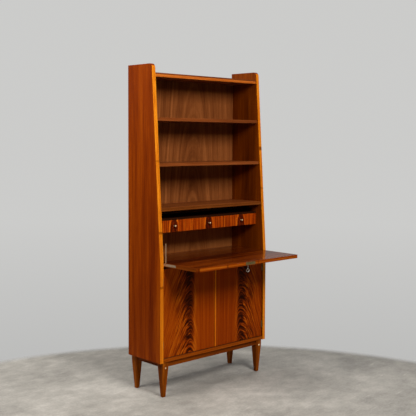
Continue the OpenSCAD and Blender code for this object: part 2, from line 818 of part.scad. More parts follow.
module lock_case() color(STEEL) to_frame() difference() {
    block([-lock_case_width / 2, case_front_y, case_bottom_z],
        [lock_case_width / 2, case_front_y + lock_case_depth, case_top_z]);
    block([-lock_case_width / 2 + lock_case_wall, case_front_y + lock_case_wall, cavity_bottom],
        [lock_case_width / 2 - lock_case_wall, case_front_y + lock_case_depth - lock_case_wall,
            cavity_top]);
    bolt_opening();
    keyhole(case_bottom_z - cut, cavity_bottom + cut);
    bore_z(cavity_top - cut, case_top_z + cut, 0, key_y, key_stem_radius + turning_gap);
}

module lock_plate() color(BRASS) to_frame() difference() {
    block([-lock_plate_length / 2, free_edge_y, lock_mid_z - lock_plate_height / 2],
        [lock_plate_length / 2, case_front_y, lock_mid_z + lock_plate_height / 2]);
    bolt_opening();
}

module keyhole_escutcheon() color(BRASS) to_frame() difference() {
    bore_z(flap_underside, flap_underside + escutcheon_thickness, 0, key_y, escutcheon_radius);
    keyhole(flap_underside - cut, flap_underside + escutcheon_thickness + cut);
}

module lock_bolt() color(BRASS) to_frame() difference() {
    block([-bolt_width / 2, free_edge_y, bolt_z],
        [bolt_width / 2, free_edge_y + bolt_length, bolt_z + bolt_thickness]);
    // the slot that the key's tip stands in while the bolt slides
    block([-key_slot, key_y - key_slot, bolt_z - cut],
        [key_slot, key_y + key_slot + bolt_throw, bolt_z + bolt_thickness + cut]);
}

module lock_strike() color(BRASS) to_frame() strike_place() difference() {
    block([-strike_half_width + fit_gap, -strike_half_depth + fit_gap, 0],
        [strike_half_width - fit_gap, strike_half_depth - fit_gap, strike_thickness]);
    block([-strike_slot_half, -strike_slot_depth, -cut],
        [strike_slot_half, strike_slot_depth, strike_thickness + cut]);
}

module bow_outline(r) {
    for (x = [-bow_spread, bow_spread]) translate([x, 0]) circle(r = r);
    square([2 * bow_spread, 2 * r], center = true);
}

module key() color(STEEL) to_frame() translate([0, key_y, 0]) {
    stem_bottom = bow_z + bow_radius - bow_wall / 2;
    bore_z(stem_bottom, case_top_z - key_end_gap, 0, 0, key_stem_radius);
    bore_z(bow_z + bow_radius, bow_z + bow_radius + key_collar_height, 0, 0,
        key_stem_radius + key_collar);
    block([-bit_thickness / 2, 0, bit_z], [bit_thickness / 2, bit_length, bit_z + bit_height]);
    translate([0, 0, bow_z]) rotate([90, 0, 0])
        translate([0, 0, -bow_thickness / 2]) linear_extrude(height = bow_thickness)
            difference() {
                bow_outline(bow_radius);
                bow_outline(bow_radius - bow_wall);
            }
}

// ---- doors ----

module door(hand) {
    meeting = door_meeting_gap / 2;
    difference() {
        block([hand < 0 ? -door_outer : meeting, door_setback, door_bottom],
            [hand < 0 ? -meeting : door_outer, door_back_y, door_top]);
        // the door leaves of the hinges lie flush in the edge
        for (z = hinge_zs)
            block([hand < 0 ? -door_outer - cut : door_outer - hinge_leaf, door_setback - cut, z],
                [hand < 0 ? -door_outer + hinge_leaf : door_outer + cut, hinge_leaf_back,
                    z + hinge_height]);
    }
}

// A leaf and its knuckles. The frame leaf carries the two outer knuckles and the door leaf the
// middle one, and x is the leaf's face that lies on the wood.
module hinge_leaf_solid(hand, z, x0, x1, knuckle_zs) {
    low = min(hand * x0, hand * x1);
    high = max(hand * x0, hand * x1);
    difference() {
        union() {
            block([low, hinge_leaf_front, z], [high, hinge_leaf_back, z + hinge_height]);
            for (k = knuckle_zs) {
                block([low, hinge_y, z + k], [high, hinge_leaf_front + cut, z + k + knuckle]);
                bore_z(z + k, z + k + knuckle, hand * hinge_x, hinge_y, hinge_knuckle_radius);
            }
        }
        bore_z(z - cut, z + hinge_height + cut, hand * hinge_x, hinge_y,
            hinge_pin_radius + turning_gap);
    }
}

module frame_hinge_leaves() color(BRASS) to_frame()
    for (hand = [left, right], z = hinge_zs)
        hinge_leaf_solid(hand, z, inner_half, inner_half - hinge_leaf, outer_knuckles);

module door_hinge_leaves(hand) {
    for (z = hinge_zs)
        hinge_leaf_solid(hand, z, door_outer, door_outer - hinge_leaf, middle_knuckle);
}

module hinge_pins() color(BRASS) to_frame()
    for (hand = [left, right], z = hinge_zs) {
        bore_z(z, z + hinge_height, hand * hinge_x, hinge_y, hinge_pin_radius);
        bore_z(z + hinge_height, z + hinge_height + hinge_pin_head, hand * hinge_x, hinge_y,
            hinge_knuckle_radius - hinge_gap);
    }

module left_door() color(FLAME) to_frame() door(left);
module right_door() color(FLAME) to_frame() door(right);
module left_door_hinge_leaves() color(BRASS) to_frame() door_hinge_leaves(left);
module right_door_hinge_leaves() color(BRASS) to_frame() door_hinge_leaves(right);

module door_meeting_strip() color(EDGE) to_frame() {
    r = dome_sphere(strip_width / 2, strip_projection);
    translate([strip_left + strip_width / 2, door_setback, door_bottom])
        linear_extrude(height = door_top - door_bottom) intersection() {
            translate([0, r - strip_projection]) circle(r = r);
            translate([-strip_width / 2, -strip_projection])
                square([strip_width, strip_projection]);
        }
}

module door_catches() color(STEEL) to_frame()
    for (hand = [left, right]) {
        bore_z(bottom_top - catch_length, bottom_top, hand * catch_offset, catch_y, catch_radius);
        translate([hand * catch_offset, catch_y, 0]) intersection() {
            translate([0, 0, bottom_top + ball_rise - ball_radius]) sphere(r = ball_radius);
            translate([0, 0, bottom_top - 0.2]) cylinder(h = ball_radius, r = ball_radius);
        }
    }

left_side();
right_side();
top_board();
upper_shelf();
lower_shelf();
compartment_roof();
drawer_case_top();
drawer_case_bottom();
drawer_dividers();
desk_floor();
door_head_rail();
cupboard_shelf();
bottom_board();
back_panel();
front_apron();
back_apron();
left_apron();
right_apron();
front_left_leg();
front_right_leg();
back_left_leg();
back_right_leg();
leg_studs();
shelf_pins();
back_screws();
flap_pivot_pins();
lock_strike();
frame_hinge_leaves();
hinge_pins();
door_catches();
flap_panel();
flap_front_lipping();
flap_end_lippings();
stay_arm();
stay_screws();
lock_case();
lock_plate();
keyhole_escutcheon();
lock_bolt();
key();
left_door();
left_door_hinge_leaves();
right_door();
right_door_hinge_leaves();
door_meeting_strip();
left_drawer_front();
left_drawer_sides();
left_drawer_back();
left_drawer_bottom();
left_drawer_knob();
middle_drawer_front();
middle_drawer_sides();
middle_drawer_back();
middle_drawer_bottom();
middle_drawer_knob();
right_drawer_front();
right_drawer_sides();
right_drawer_back();
right_drawer_bottom();
right_drawer_knob();
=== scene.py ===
# %% Load the fixed frame
import math

import bpy
from mathutils import Matrix, Vector


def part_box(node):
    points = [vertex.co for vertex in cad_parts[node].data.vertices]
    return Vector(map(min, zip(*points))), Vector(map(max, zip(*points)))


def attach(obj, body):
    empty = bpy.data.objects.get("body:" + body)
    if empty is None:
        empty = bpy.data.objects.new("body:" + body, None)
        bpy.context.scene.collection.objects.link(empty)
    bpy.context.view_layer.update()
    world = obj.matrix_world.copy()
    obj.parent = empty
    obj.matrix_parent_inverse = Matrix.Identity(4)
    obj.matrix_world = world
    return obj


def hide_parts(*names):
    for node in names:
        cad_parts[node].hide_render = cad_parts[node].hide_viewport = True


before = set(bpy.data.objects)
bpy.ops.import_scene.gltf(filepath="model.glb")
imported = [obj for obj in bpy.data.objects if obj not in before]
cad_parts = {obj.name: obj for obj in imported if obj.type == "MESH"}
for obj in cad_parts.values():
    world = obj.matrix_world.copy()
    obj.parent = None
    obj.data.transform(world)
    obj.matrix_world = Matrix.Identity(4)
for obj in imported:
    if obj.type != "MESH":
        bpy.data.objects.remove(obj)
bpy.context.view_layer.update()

# %% [markdown]
# The desk stands upright and is seen from a little above the writing height, from its left. A long
# lens keeps the tall sides nearly parallel. The camera looks slightly down, and a small vertical
# shift moves the picture instead of tilting the camera more.

# %% Camera
EYE = Vector((-3.1428, -3.2430, 1.3815))
HEADING, LOOK_DOWN, ROLL = math.radians(43.519), math.radians(3.658), math.radians(0.276)

lens = bpy.data.cameras.new("camera")
lens.sensor_width = 36
lens.lens = 70.02
lens.shift_y = -0.0385
camera = bpy.data.objects.new("camera", lens)
bpy.context.scene.collection.objects.link(camera)
turn = Matrix.Rotation(-HEADING, 3, "Z") @ Matrix.Rotation(math.pi / 2 - LOOK_DOWN, 3, "X")
camera.location = EYE
camera.rotation_euler = (turn @ Matrix.Rotation(ROLL, 3, "Z")).to_euler()
bpy.context.scene.camera = camera
print("camera is", round(EYE.length, 2), "m from the origin")

# %% [markdown]
# Shader maths reads best as ordinary expressions. A Value wraps one socket of a material, and
# adding or multiplying two of them adds the Math node that does it. A Finish is a material with
# one method that makes any other node.

# %% Values and finishes
def maths(operation, swap=False):
    """A method that puts a Math node after a Value, or after another number and the Value."""
    def method(self, *others):
        values = (*others, self) if swap else (self, *others)
        return self.finish.node("ShaderNodeMath", {"operation": operation}, values)
    return method


class Value:
    def __init__(self, finish, socket):
        self.finish, self.socket = finish, socket

    __add__ = __radd__ = maths("ADD")
    __sub__, __rsub__ = maths("SUBTRACT"), maths("SUBTRACT", swap=True)
    __mul__ = __rmul__ = maths("MULTIPLY")
    __truediv__ = maths("DIVIDE")
    __abs__ = maths("ABSOLUTE")
    above = maths("MAXIMUM")
    root = maths("SQRT")


class Finish:
    def __init__(self, name):
        self.material = bpy.data.materials.new(name)
        self.material.use_nodes = True
        self.tree = self.material.node_tree
        self.shader = self.tree.nodes["Principled BSDF"]

    def node(self, kind, settings=None, inputs=(), output=0):
        made = self.tree.nodes.new(kind)
        for key, value in (settings or {}).items():
            if key == "stops":
                ramp = made.color_ramp
                while len(ramp.elements) < len(value):
                    ramp.elements.new(1)
                for element, (place, colour) in zip(ramp.elements, value):
                    element.position, element.color = place, (*colour, 1)
            else:
                setattr(made, key, value)
        for key, value in inputs.items() if isinstance(inputs, dict) else enumerate(inputs):
            if isinstance(value, Value):
                self.tree.links.new(value.socket, made.inputs[key])
            else:
                made.inputs[key].default_value = value
        return Value(self, made.outputs[output])

    def place(self, slide=(0, 0, 0)):
        """The point on the object as three values, in metres, moved by slide."""
        point = self.node("ShaderNodeTexCoord", output="Object")
        moved = self.node("ShaderNodeMapping", {}, {"Vector": point, "Location": slide})
        return [self.node("ShaderNodeSeparateXYZ", {}, [moved], axis) for axis in "XYZ"]

    def noise(self, x, y, z, detail=2.0, roughness=0.5):
        point = self.node("ShaderNodeCombineXYZ", {}, [x, y, z])
        inputs = {"Vector": point, "Scale": 1.0, "Detail": detail, "Roughness": roughness}
        return self.node("ShaderNodeTexNoise", {}, inputs)

    def ramp(self, value, *stops):
        return self.node("ShaderNodeValToRGB", {"stops": stops}, [value])

    def mask(self, value, start, end):
        """0 where value is at start, 1 where it is at end, and smooth between them."""
        settings = {"interpolation_type": "SMOOTHSTEP"}
        inputs = {"Value": value, "From Min": start, "From Max": end}
        return self.node("ShaderNodeMapRange", settings, inputs)

    def blend(self, amount, a, b, kind="MIX"):
        settings = {"data_type": "RGBA", "blend_type": kind}
        return self.node("ShaderNodeMix", settings, {0: amount, 6: a, 7: b}, 2)

    def tint(self, amount, base, colour):
        return self.blend(amount, base, (*colour, 1), "MULTIPLY")

    def feed(self, **inputs):
        """Links or sets the shader's own sockets, with _ for each space in a name."""
        for key, value in inputs.items():
            socket = self.shader.inputs[key.replace("_", " ")]
            if isinstance(value, Value):
                self.tree.links.new(value.socket, socket)
            else:
                socket.default_value = value
        return self

    def relief(self, height, depth, strength=0.5):
        inputs = {"Height": height, "Distance": depth, "Strength": strength}
        return self.feed(Normal=self.node("ShaderNodeBump", {}, inputs))


print("a finish starts with", [n.name for n in Finish("trial").tree.nodes])
bpy.data.materials.remove(bpy.data.materials["trial"])

# %% [markdown]
# The floor is pale concrete: fine sand, cloudy stains, and faint lighter streaks where it was
# rubbed. It is a disc that fades out at its rim, so that the background takes over without a hard
# horizon. Its middle lies in front of the desk and to the left, towards the camera, so the rim
# passes close behind the desk.

# %% Floor
FLOOR_RADIUS = 2.3
FLOOR_MIDDLE = (-0.90, -0.93, 0)

bpy.ops.object.select_all(action="DESELECT")
bpy.ops.mesh.primitive_circle_add(vertices=96, radius=FLOOR_RADIUS, fill_type="NGON",
                                  location=FLOOR_MIDDLE)
bpy.ops.object.transform_apply()
floor = bpy.context.object
floor.name = "floor"

concrete = Finish("pale concrete")
x, y, z = concrete.place()
clouds = concrete.noise(x * 1.9, y * 1.9, z, 6.0, 0.62)
sand = concrete.noise(x * 90, y * 90, z, 3.0, 0.7)
worn = concrete.noise(x * 9, y * 13, z, 5.0, 0.7)
rubbed = concrete.noise(x * 5 + y, y * 70 - x * 14, z, 3.0, 0.6)
shade = clouds * 0.48 + worn * 0.32 + sand * 0.2 + concrete.mask(rubbed, 0.62, 0.74) * 0.12
# painted shade: the floor darkens towards the right, where the light falls off
shade = shade - concrete.mask(x, -0.2, 1.3) * 0.075
pale = concrete.ramp(shade, (0.38, (0.26, 0.247, 0.223)), (0.5, (0.40, 0.381, 0.345)),
                     (0.62, (0.56, 0.534, 0.488)))
across, away = x - FLOOR_MIDDLE[0], y - FLOOR_MIDDLE[1]
far = (across * across + away * away).root() / FLOOR_RADIUS
concrete.feed(Base_Color=pale, Roughness=worn * 0.2 + 0.55, Alpha=concrete.mask(far, 0.97, 0.92))
concrete.relief(sand + clouds, 0.002, 0.4)
floor.data.materials.append(concrete.material)
print("floor is", FLOOR_RADIUS * 2, "m across")

# %% [markdown]
# Two warm softboxes do the work: one high on the left for the desk's side, one high in front for
# the doors. Two weak ones keep the right and the back from going black. The room is a light grey
# that counts in three ways: plainly as the wall one sees, which dims a little towards the floor,
# less as what the lacquer mirrors, and least as light, so that the compartments stay dark.

# %% Lights
WALL, AMBIENT, MIRRORED = (0.60, 0.60, 0.59), 0.12, 0.40
DIMMED = {"From Min": -0.26, "From Max": -0.10, "To Min": 0.84}

def softbox(name, place, aim, width, height, watts, warmth=(1, 1, 1)):
    lamp = bpy.data.lights.new(name, "AREA")
    lamp.shape, lamp.size, lamp.size_y = "RECTANGLE", width, height
    lamp.energy, lamp.color = watts, warmth
    box = bpy.data.objects.new(name, lamp)
    bpy.context.scene.collection.objects.link(box)
    box.location = place
    box.rotation_euler = (Vector(aim) - Vector(place)).to_track_quat("-Z", "Y").to_euler()


softbox("side", (-2.15, 0.25, 3.25), (-0.4, 0, 1.1), 1.1, 1.1, 70, (1, 0.96, 0.91))
softbox("front", (-0.85, -2.9, 2.95), (0, 0, 0.85), 1.2, 1.2, 120, (1, 0.97, 0.93))
softbox("right", (2.9, 0.6, 2.3), (0, 0, 0.9), 1.5, 1.5, 22)
softbox("back", (-0.5, 2.9, 2.3), (0, 0, 0.9), 1.5, 1.5, 24)

room = bpy.data.worlds.new("room")
bpy.context.scene.world = room
room.use_nodes = True
nodes, link = room.node_tree.nodes, room.node_tree.links.new
rays = nodes.new("ShaderNodeLightPath")
surface = nodes["Background"].outputs[0]
nodes["Background"].inputs["Color"].default_value = (*WALL, 1)
nodes["Background"].inputs["Strength"].default_value = AMBIENT
for ray, strength in (("Is Glossy Ray", MIRRORED), ("Is Camera Ray", 1.0)):
    wall, either = nodes.new("ShaderNodeBackground"), nodes.new("ShaderNodeMixShader")
    wall.inputs["Color"].default_value = (*WALL, 1)
    wall.inputs["Strength"].default_value = strength
    link(rays.outputs[ray], either.inputs[0])
    link(surface, either.inputs[1])
    link(wall.outputs[0], either.inputs[2])
    surface = either.outputs[0]
link(surface, nodes["World Output"].inputs["Surface"])
toward = nodes.new("ShaderNodeTexCoord")
split_axes = nodes.new("ShaderNodeSeparateXYZ")
dusk = nodes.new("ShaderNodeMapRange")
for socket, number in DIMMED.items():
    dusk.inputs[socket].default_value = number
link(toward.outputs["Generated"], split_axes.inputs[0])
link(split_axes.outputs["Z"], dusk.inputs["Value"])
link(dusk.outputs[0], wall.inputs["Strength"])
bpy.context.scene.view_settings.view_transform = "Standard"

# %% [markdown]
# All the wood is one family, and its grain is drawn in layers, as it is in a tree. A slow drift
# bends the fibres, broad stripes are years of growth, streaks and fibres lie inside them, and pores
# are short dark dashes. Each layer is a noise stretched along the grain, so one helper draws all.

# %% Grain helper
def grain(finish, along, slide, stripe, drift=0.03):
    """Layers of straight grain along one axis: a dict of values from 0 to 1, and the axes."""
    x, y, z = finish.place(slide)
    a, b, run = {"x": (y, z, x), "y": (x, z, y), "z": (x, y, z)}[along]
    bend = (finish.noise(a * 2.5, b * 2.5, run * 1.6, 1.0) - 0.5) * drift
    a, b = a + bend, b + bend
    return {
        "a": a, "b": b, "run": run,
        "broad": finish.noise(a * stripe, b * stripe, run * 0.7, 3.0, 0.55),
        "streak": finish.noise(a * 170, b * 170, run * 3.0, 3.0, 0.6),
        "fibre": finish.noise(a * 900, b * 900, run * 16, 2.0),
        "pore": finish.noise(a * 2100, b * 2100, run * 75, 1.0),
        "patch": finish.noise(a * 3.0, b * 3.0, run * 1.3, 2.0),
    }


def lacquer(finish, colour, g, rough=0.34, coat=0.0, gloss=0.05):
    """Darkens the pores, then lays a satin lacquer over the colour."""
    pores = finish.mask(g["pore"], 0.6, 0.74)
    dark = finish.tint(pores * 0.55, colour, (0.3, 0.2, 0.14))
    finish.feed(Base_Color=dark, Roughness=g["fibre"] * 0.14 + pores * 0.1 + (rough - 0.07))
    finish.feed(Specular_IOR_Level=gloss, Specular_Tint=(1, 0.4, 0.05, 1))
    finish.feed(Coat_Weight=coat, Coat_Roughness=0.05)
    return finish.relief(g["fibre"] * 0.5 - pores * 0.8 + g["streak"] * 0.3, 0.00025, 0.35)


def straight_wood(name, along, dark, middle, pale, slide=(0, 0, 0), stripe=30.0, spread=0.16,
                  cloud=0.12, **options):
    """A finish of straight grain between three colours."""
    finish = Finish(name)
    g = grain(finish, along, slide, stripe)
    tone = g["broad"] * 0.5 + g["streak"] * 0.32 + g["fibre"] * 0.18
    tone = tone + (g["patch"] - 0.5) * cloud
    colour = finish.ramp(tone, (0.5 - spread, dark), (0.5, middle), (0.5 + spread, pale))
    return lacquer(finish, colour, g, **options)


print("layers of grain: drift, broad, streak, fibre, pore, patch")

# %% [markdown]
# The sides have upright grain, a warm reddish brown. The writing surface is darker and has the
# hardest lacquer, and shelves are browner. The back panel is a plainer veneer with wide arches, as
# from a plank cut flat across the tree, drawn as very long rings round an upright line. Behind the
# writing compartment its inner face is painted a little lighter: painted light, for the light that
# reaches in there.

# %% Straight veneers
side_veneer = straight_wood("side veneer", "z", (0.11, 0.011, 0.0004), (0.24, 0.034, 0.0005),
                            (0.42, 0.082, 0.002), stripe=22.0, spread=0.17)
inner_veneer = straight_wood("inner veneer", "z", (0.055, 0.008, 0.0004), (0.15, 0.026, 0.0006),
                             (0.30, 0.065, 0.0015), (0.31, 0.17, 0), stripe=22.0, rough=0.42,
                             spread=0.18, cloud=0.25)
shelf_veneer = straight_wood("shelf veneer", "x", (0.1, 0.02, 0.004), (0.2, 0.048, 0.01),
                             (0.31, 0.085, 0.02), (0.1, 0.4, 0.2), rough=0.36)
desk_veneer = straight_wood("writing surface veneer", "x", (0.030, 0.003, 0.0003),
                            (0.09, 0.011, 0.0006), (0.23, 0.042, 0.002), (0.6, 0.1, 0.3),
                            rough=0.25, coat=0.52, gloss=0.2, stripe=24.0, spread=0.08, cloud=0.2)
flap_face = straight_wood("flap face veneer", "x", (0.10, 0.010, 0.0004), (0.22, 0.032, 0.0006),
                          (0.38, 0.075, 0.002), (0.6, 0.1, 0.3), stripe=22.0, rough=0.3)
leg_wood = straight_wood("leg wood", "z", (0.06, 0.011, 0.0008), (0.22, 0.046, 0.002),
                         (0.44, 0.12, 0.007), (0.13, 0.57, 0), rough=0.3, stripe=45.0)
APRON = (0.06, 0.01, 0.0006), (0.15, 0.027, 0.0012), (0.25, 0.055, 0.003)
apron_wood = straight_wood("apron wood", "x", *APRON, (0.7, 0.23, 0.4))
side_apron_wood = straight_wood("side apron wood", "y", *APRON, (0.2, 0.33, 0.8))
drawer_wood = straight_wood("drawer wood", "y", (0.36, 0.22, 0.10), (0.50, 0.33, 0.16),
                            (0.62, 0.45, 0.25), rough=0.6, spread=0.2)


# painted light on the back panel fades out between these two heights
PAINTED_LIGHT_LOW, PAINTED_LIGHT_HIGH = 0.92, 1.02


def arched_wood(name, dark, middle, pale, middle_x, slide, painted_light=0.0):
    """Rings round the line x = middle_x, with painted light added up to the compartment's top."""
    finish = Finish(name)
    g = grain(finish, "z", slide, 26.0, 0.05)
    off, rise = g["a"] - middle_x, g["run"] * 0.55 + 2.0
    ring = (off * off * 90 + rise * rise).root() * 7.5 + g["patch"] * 1.6
    arches = finish.noise(ring * 2.0, g["b"] * 4, off * 2.0, 3.0, 0.6)
    tone = arches * 0.40 + g["streak"] * 0.14 + g["fibre"] * 0.14 + g["broad"] * 0.14
    tone = tone + g["patch"] * 0.18
    # painted light: the tone is lifted up to the writing compartment's top
    tone = tone + finish.mask(g["run"], PAINTED_LIGHT_HIGH, PAINTED_LIGHT_LOW) * painted_light
    colour = finish.ramp(tone, (0.36, dark), (0.5, middle), (0.64, pale))
    return lacquer(finish, colour, g, rough=0.46)


back_veneer = arched_wood("back veneer", (0.062, 0.014, 0.0035), (0.19, 0.055, 0.0135),
                          (0.35, 0.115, 0.030), 0.06, (0.0, 0.2, 0.0), painted_light=0.09)
outside_veneer = arched_wood("back outside veneer", (0.08, 0.022, 0.006), (0.19, 0.062, 0.018),
                             (0.32, 0.115, 0.036), -0.05, (0.3, 0.2, 0.0))
print(len(bpy.data.materials), "finishes so far")

# %% [markdown]
# Front edges are lipped with solid wood, on the sides a clear golden orange. Lippings are short
# offcuts, so here and there one shows a small dark knot or the line where two lengths meet. Each
# such mark is a soft dark spot at one place along the edge.

# %% Solid edging
KNOT = (0.22, 0.10, 0.05)


def edging(name, along, slide, marks=(), dark=(0.46, 0.105, 0.004), middle=(0.73, 0.205, 0.007),
           pale=(0.92, 0.33, 0.018)):
    """Marks are (place along the edge, half length, strength), in metres."""
    finish = Finish(name)
    g = grain(finish, along, slide, 60.0, 0.01)
    tone = g["broad"] * 0.35 + g["streak"] * 0.35 + g["fibre"] * 0.2 + g["patch"] * 0.1
    colour = finish.ramp(tone, (0.36, dark), (0.5, middle), (0.64, pale))
    axis = "xyz".index(along)
    ragged = (g["streak"] - 0.5) * 0.012
    for place, half, strength in marks:
        distance = abs(g["run"] + (ragged - place - slide[axis]))
        spot = finish.mask(distance, half, half * 0.3)
        colour = finish.tint(spot * strength, colour, KNOT)
    return lacquer(finish, colour, g, rough=0.3)


left_edging = edging("left side edging", "z", (0, 0, 0),
                     ((0.892, 0.010, 0.7), (1.27, 0.008, 0.35), (0.60, 0.010, 0.6)))
right_edging = edging("right side edging", "z", (0.5, 0, 0),
                      ((1.335, 0.016, 0.85), (1.10, 0.008, 0.4)))
rail_edging = edging("board edging", "x", (0, 0.3, 0), (), (0.3, 0.06, 0.006),
                     (0.48, 0.11, 0.012), (0.66, 0.19, 0.028))
roof_edging = edging("roof edging", "x", (0, 0.7, 0), (), (0.08, 0.02, 0.003),
                     (0.16, 0.04, 0.006), (0.25, 0.072, 0.012))
bottom_edging = edging("bottom edging", "x", (0, 0.9, 0), (), (0.13, 0.022, 0.001),
                       (0.25, 0.046, 0.002), (0.38, 0.085, 0.004))
flap_edging = edging("flap edging", "x", (0, 0.5, 0),
                     ((-0.380, 0.010, 0.9), (-0.175, 0.009, 0.6), (0.06, 0.008, 0.4)),
                     (0.11, 0.012, 0.0006), (0.25, 0.038, 0.001), (0.50, 0.13, 0.008))
flap_end_edging = edging("flap end edging", "y", (0, 0.5, 0), (), (0.08, 0.014, 0.001),
                         (0.16, 0.03, 0.002), (0.26, 0.062, 0.004))
strip_edging = edging("strip edging", "z", (0.2, 0, 0), (), (0.40, 0.080, 0.002),
                      (0.56, 0.13, 0.004), (0.76, 0.21, 0.009))
# painted shade: the board over the drawers is nearly black, for the deep shade it lies in
shaded_wood = straight_wood("shaded case wood", "x", (0.012, 0.003, 0.0012),
                            (0.022, 0.006, 0.0022), (0.035, 0.010, 0.004), (0.4, 0.6, 0),
                            rough=0.5)
print("edgings:", len([m for m in bpy.data.materials if "edging" in m.name]))

# %% [markdown]
# The doors carry the show veneer, cut through the crotch of a tree and book-matched: the left
# door is the mirror of the right. A dark column runs down the middle of each door. On its outer
# side the grain springs from it in feathers that arch over and fall steeply towards the hinges,
# and on its inner side it stays straight. One formula, in the distance from the mirror line, draws
# both doors.

# %% Flame veneer of the doors
FOLD, COLUMN = 0.012, 0.198  # the mirror line, and the dark column's distance from it


def flame_doors(name):
    finish = Finish(name)
    x, y, z = finish.place()
    u = abs(x - FOLD)
    sway = (finish.noise(x * 3, y, z * 3.2, 2.0) - 0.5) * 0.05
    rag = (finish.noise(x * 45, y, z * 30, 3.0) - 0.5) * 0.008
    w = u - COLUMN + sway + rag
    outer, inner = w.above(0), (w * -1).above(0)
    steep = outer * outer * 10.0 + outer * 0.28 + inner * inner * 45.0
    curl = (finish.noise(x * 12, y, z * 9, 3.0) - 0.5) * 0.05
    arch = z + steep + curl
    feather = finish.noise(arch * 58, outer * 14, x * 4, 3.0, 0.62)
    barbs = finish.noise(arch * 170, outer * 26, x * 6, 3.0, 0.6)
    plume = feather * 0.5 + barbs * 0.5
    stripes = finish.noise(u * 130, y, z * 0.9, 3.0, 0.65)
    lines = finish.noise(u * 420, y, z * 3.0, 3.0, 0.6)
    straight = stripes * 0.4 + lines * 0.6
    inside = finish.mask(w, -0.012, -0.075)
    low = finish.mask(z, 0.80, 0.50)
    close = finish.mask(outer, 0.21, 0.03)
    lively = close * (low * 0.9 + 0.9) + 0.6
    tone = inside * ((straight - 0.5) * 0.55) + (1 - inside) * ((plume - 0.5) * lively + 0.02)
    smoke = finish.noise(x * 18, y, z * 7, 3.0, 0.65)
    width = smoke * 0.066 + (1 - low) * 0.070 + 0.012
    heart = finish.mask(abs(w - 0.004 - (1 - low) * 0.012), width, width * 0.1)
    halo = finish.mask(abs(w - 0.035), 0.085, 0.0)
    tone = tone + 0.545 - heart * (1 - low * 0.3) * 0.25 - halo * (1 - plume) * 0.17
    # painted shade: the right door is a little darker, where the light falls off
    right_door_shade = finish.mask(x, -0.001, 0.003)
    tone = tone + finish.mask(abs(w + 0.034), 0.018, 0.0) * 0.09 - right_door_shade * 0.025
    colour = finish.ramp(tone, (0.22, (0.018, 0.0028, 0.0008)), (0.36, (0.070, 0.010, 0.0008)),
                         (0.5, (0.235, 0.028, 0.0006)), (0.62, (0.39, 0.066, 0.0015)),
                         (0.78, (0.56, 0.14, 0.006)))
    g = {"fibre": finish.noise(u * 900, y * 900, z * 16, 2.0), "streak": lines,
         "pore": finish.noise(x * 1500, y * 1500, z * 110, 1.0)}
    return lacquer(finish, colour, g, rough=0.3)


door_flame = flame_doors("door flame veneer")
print("both doors share", door_flame.material.name)

# %% [markdown]
# Each drawer front has a small flame of its own, centred on its knob: a dark tongue that widens
# downwards, bright where it begins, in stripes of reddish orange. The three fronts stand a fixed
# step apart, so the distance to the nearest knob is found by folding x at that step.

# %% Flame veneer of the drawers
front_low, front_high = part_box("middle_drawer_front")
STEP = (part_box("right_drawer_front")[0] - front_low).x

def flame_drawers(name):
    finish = Finish(name)
    x, y, z = finish.place()
    turns = finish.node("ShaderNodeMath", {"operation": "PINGPONG"}, [x + STEP * 4, STEP / 2])
    u = turns + (finish.noise(x * 12, y, z * 30, 2.0) - 0.5) * 0.008
    depth = (front_high.z - z) / (front_high.z - front_low.z)
    tongue = depth.root() * 0.016 + 0.013
    inside = finish.mask(u, tongue + 0.003, tongue - 0.003)
    rim = finish.mask(abs(u - tongue - 0.008), 0.010, 0.001)
    stripes = finish.noise(x * 190, y, z * 2, 3.0, 0.65)
    lines = finish.noise(x * 520, y, z * 7, 3.0, 0.6)
    curls = finish.noise(x * 60, y, (z + u * u * 30) * 130, 3.0, 0.6)
    tone = (stripes * 0.6 + lines * 0.4 - 0.5) * 2.0 + 0.50 + rim * 0.12
    tone = tone + inside * ((curls - 0.5) * 0.5 - 0.26)
    colour = finish.ramp(tone, (0.22, (0.040, 0.004, 0.001)), (0.38, (0.15, 0.015, 0.001)),
                         (0.52, (0.36, 0.040, 0.0010)), (0.66, (0.58, 0.10, 0.003)),
                         (0.82, (0.80, 0.22, 0.010)))
    g = {"fibre": finish.noise(x * 900, y * 900, z * 30, 2.0), "streak": lines,
         "pore": finish.noise(x * 1600, y * 1600, z * 150, 1.0)}
    return lacquer(finish, colour, g, rough=0.3)


drawer_flame = flame_drawers("drawer flame veneer")
print("drawer knobs stand", round(STEP, 4), "m apart")

# %% [markdown]
# Metal is easier. One slow noise clouds the clean colour with tarnish, and a fine one, the
# polishing scratches, changes the roughness. Knobs and studs are the brightest brass, the lock's
# plate is dull, and the key is worn nickel.

# %% Metals
def metal(name, clean, tarnished, amount, rough, metallic=1.0):
    finish = Finish(name)
    x, y, z = finish.place()
    clouds = finish.noise(x * 90, y * 90, z * 90, 4.0, 0.6)
    fine = finish.noise(x * 1400, y * 1400, z * 300, 2.0)
    dull = finish.mask(clouds, 0.72 - amount * 0.4, 0.72)
    finish.feed(Base_Color=finish.blend(dull, (*clean, 1), (*tarnished, 1)), Metallic=metallic)
    finish.feed(Roughness=dull * 0.25 + fine * 0.12 + rough - 0.06)
    return finish.relief(fine + clouds, 0.00008, 0.3)


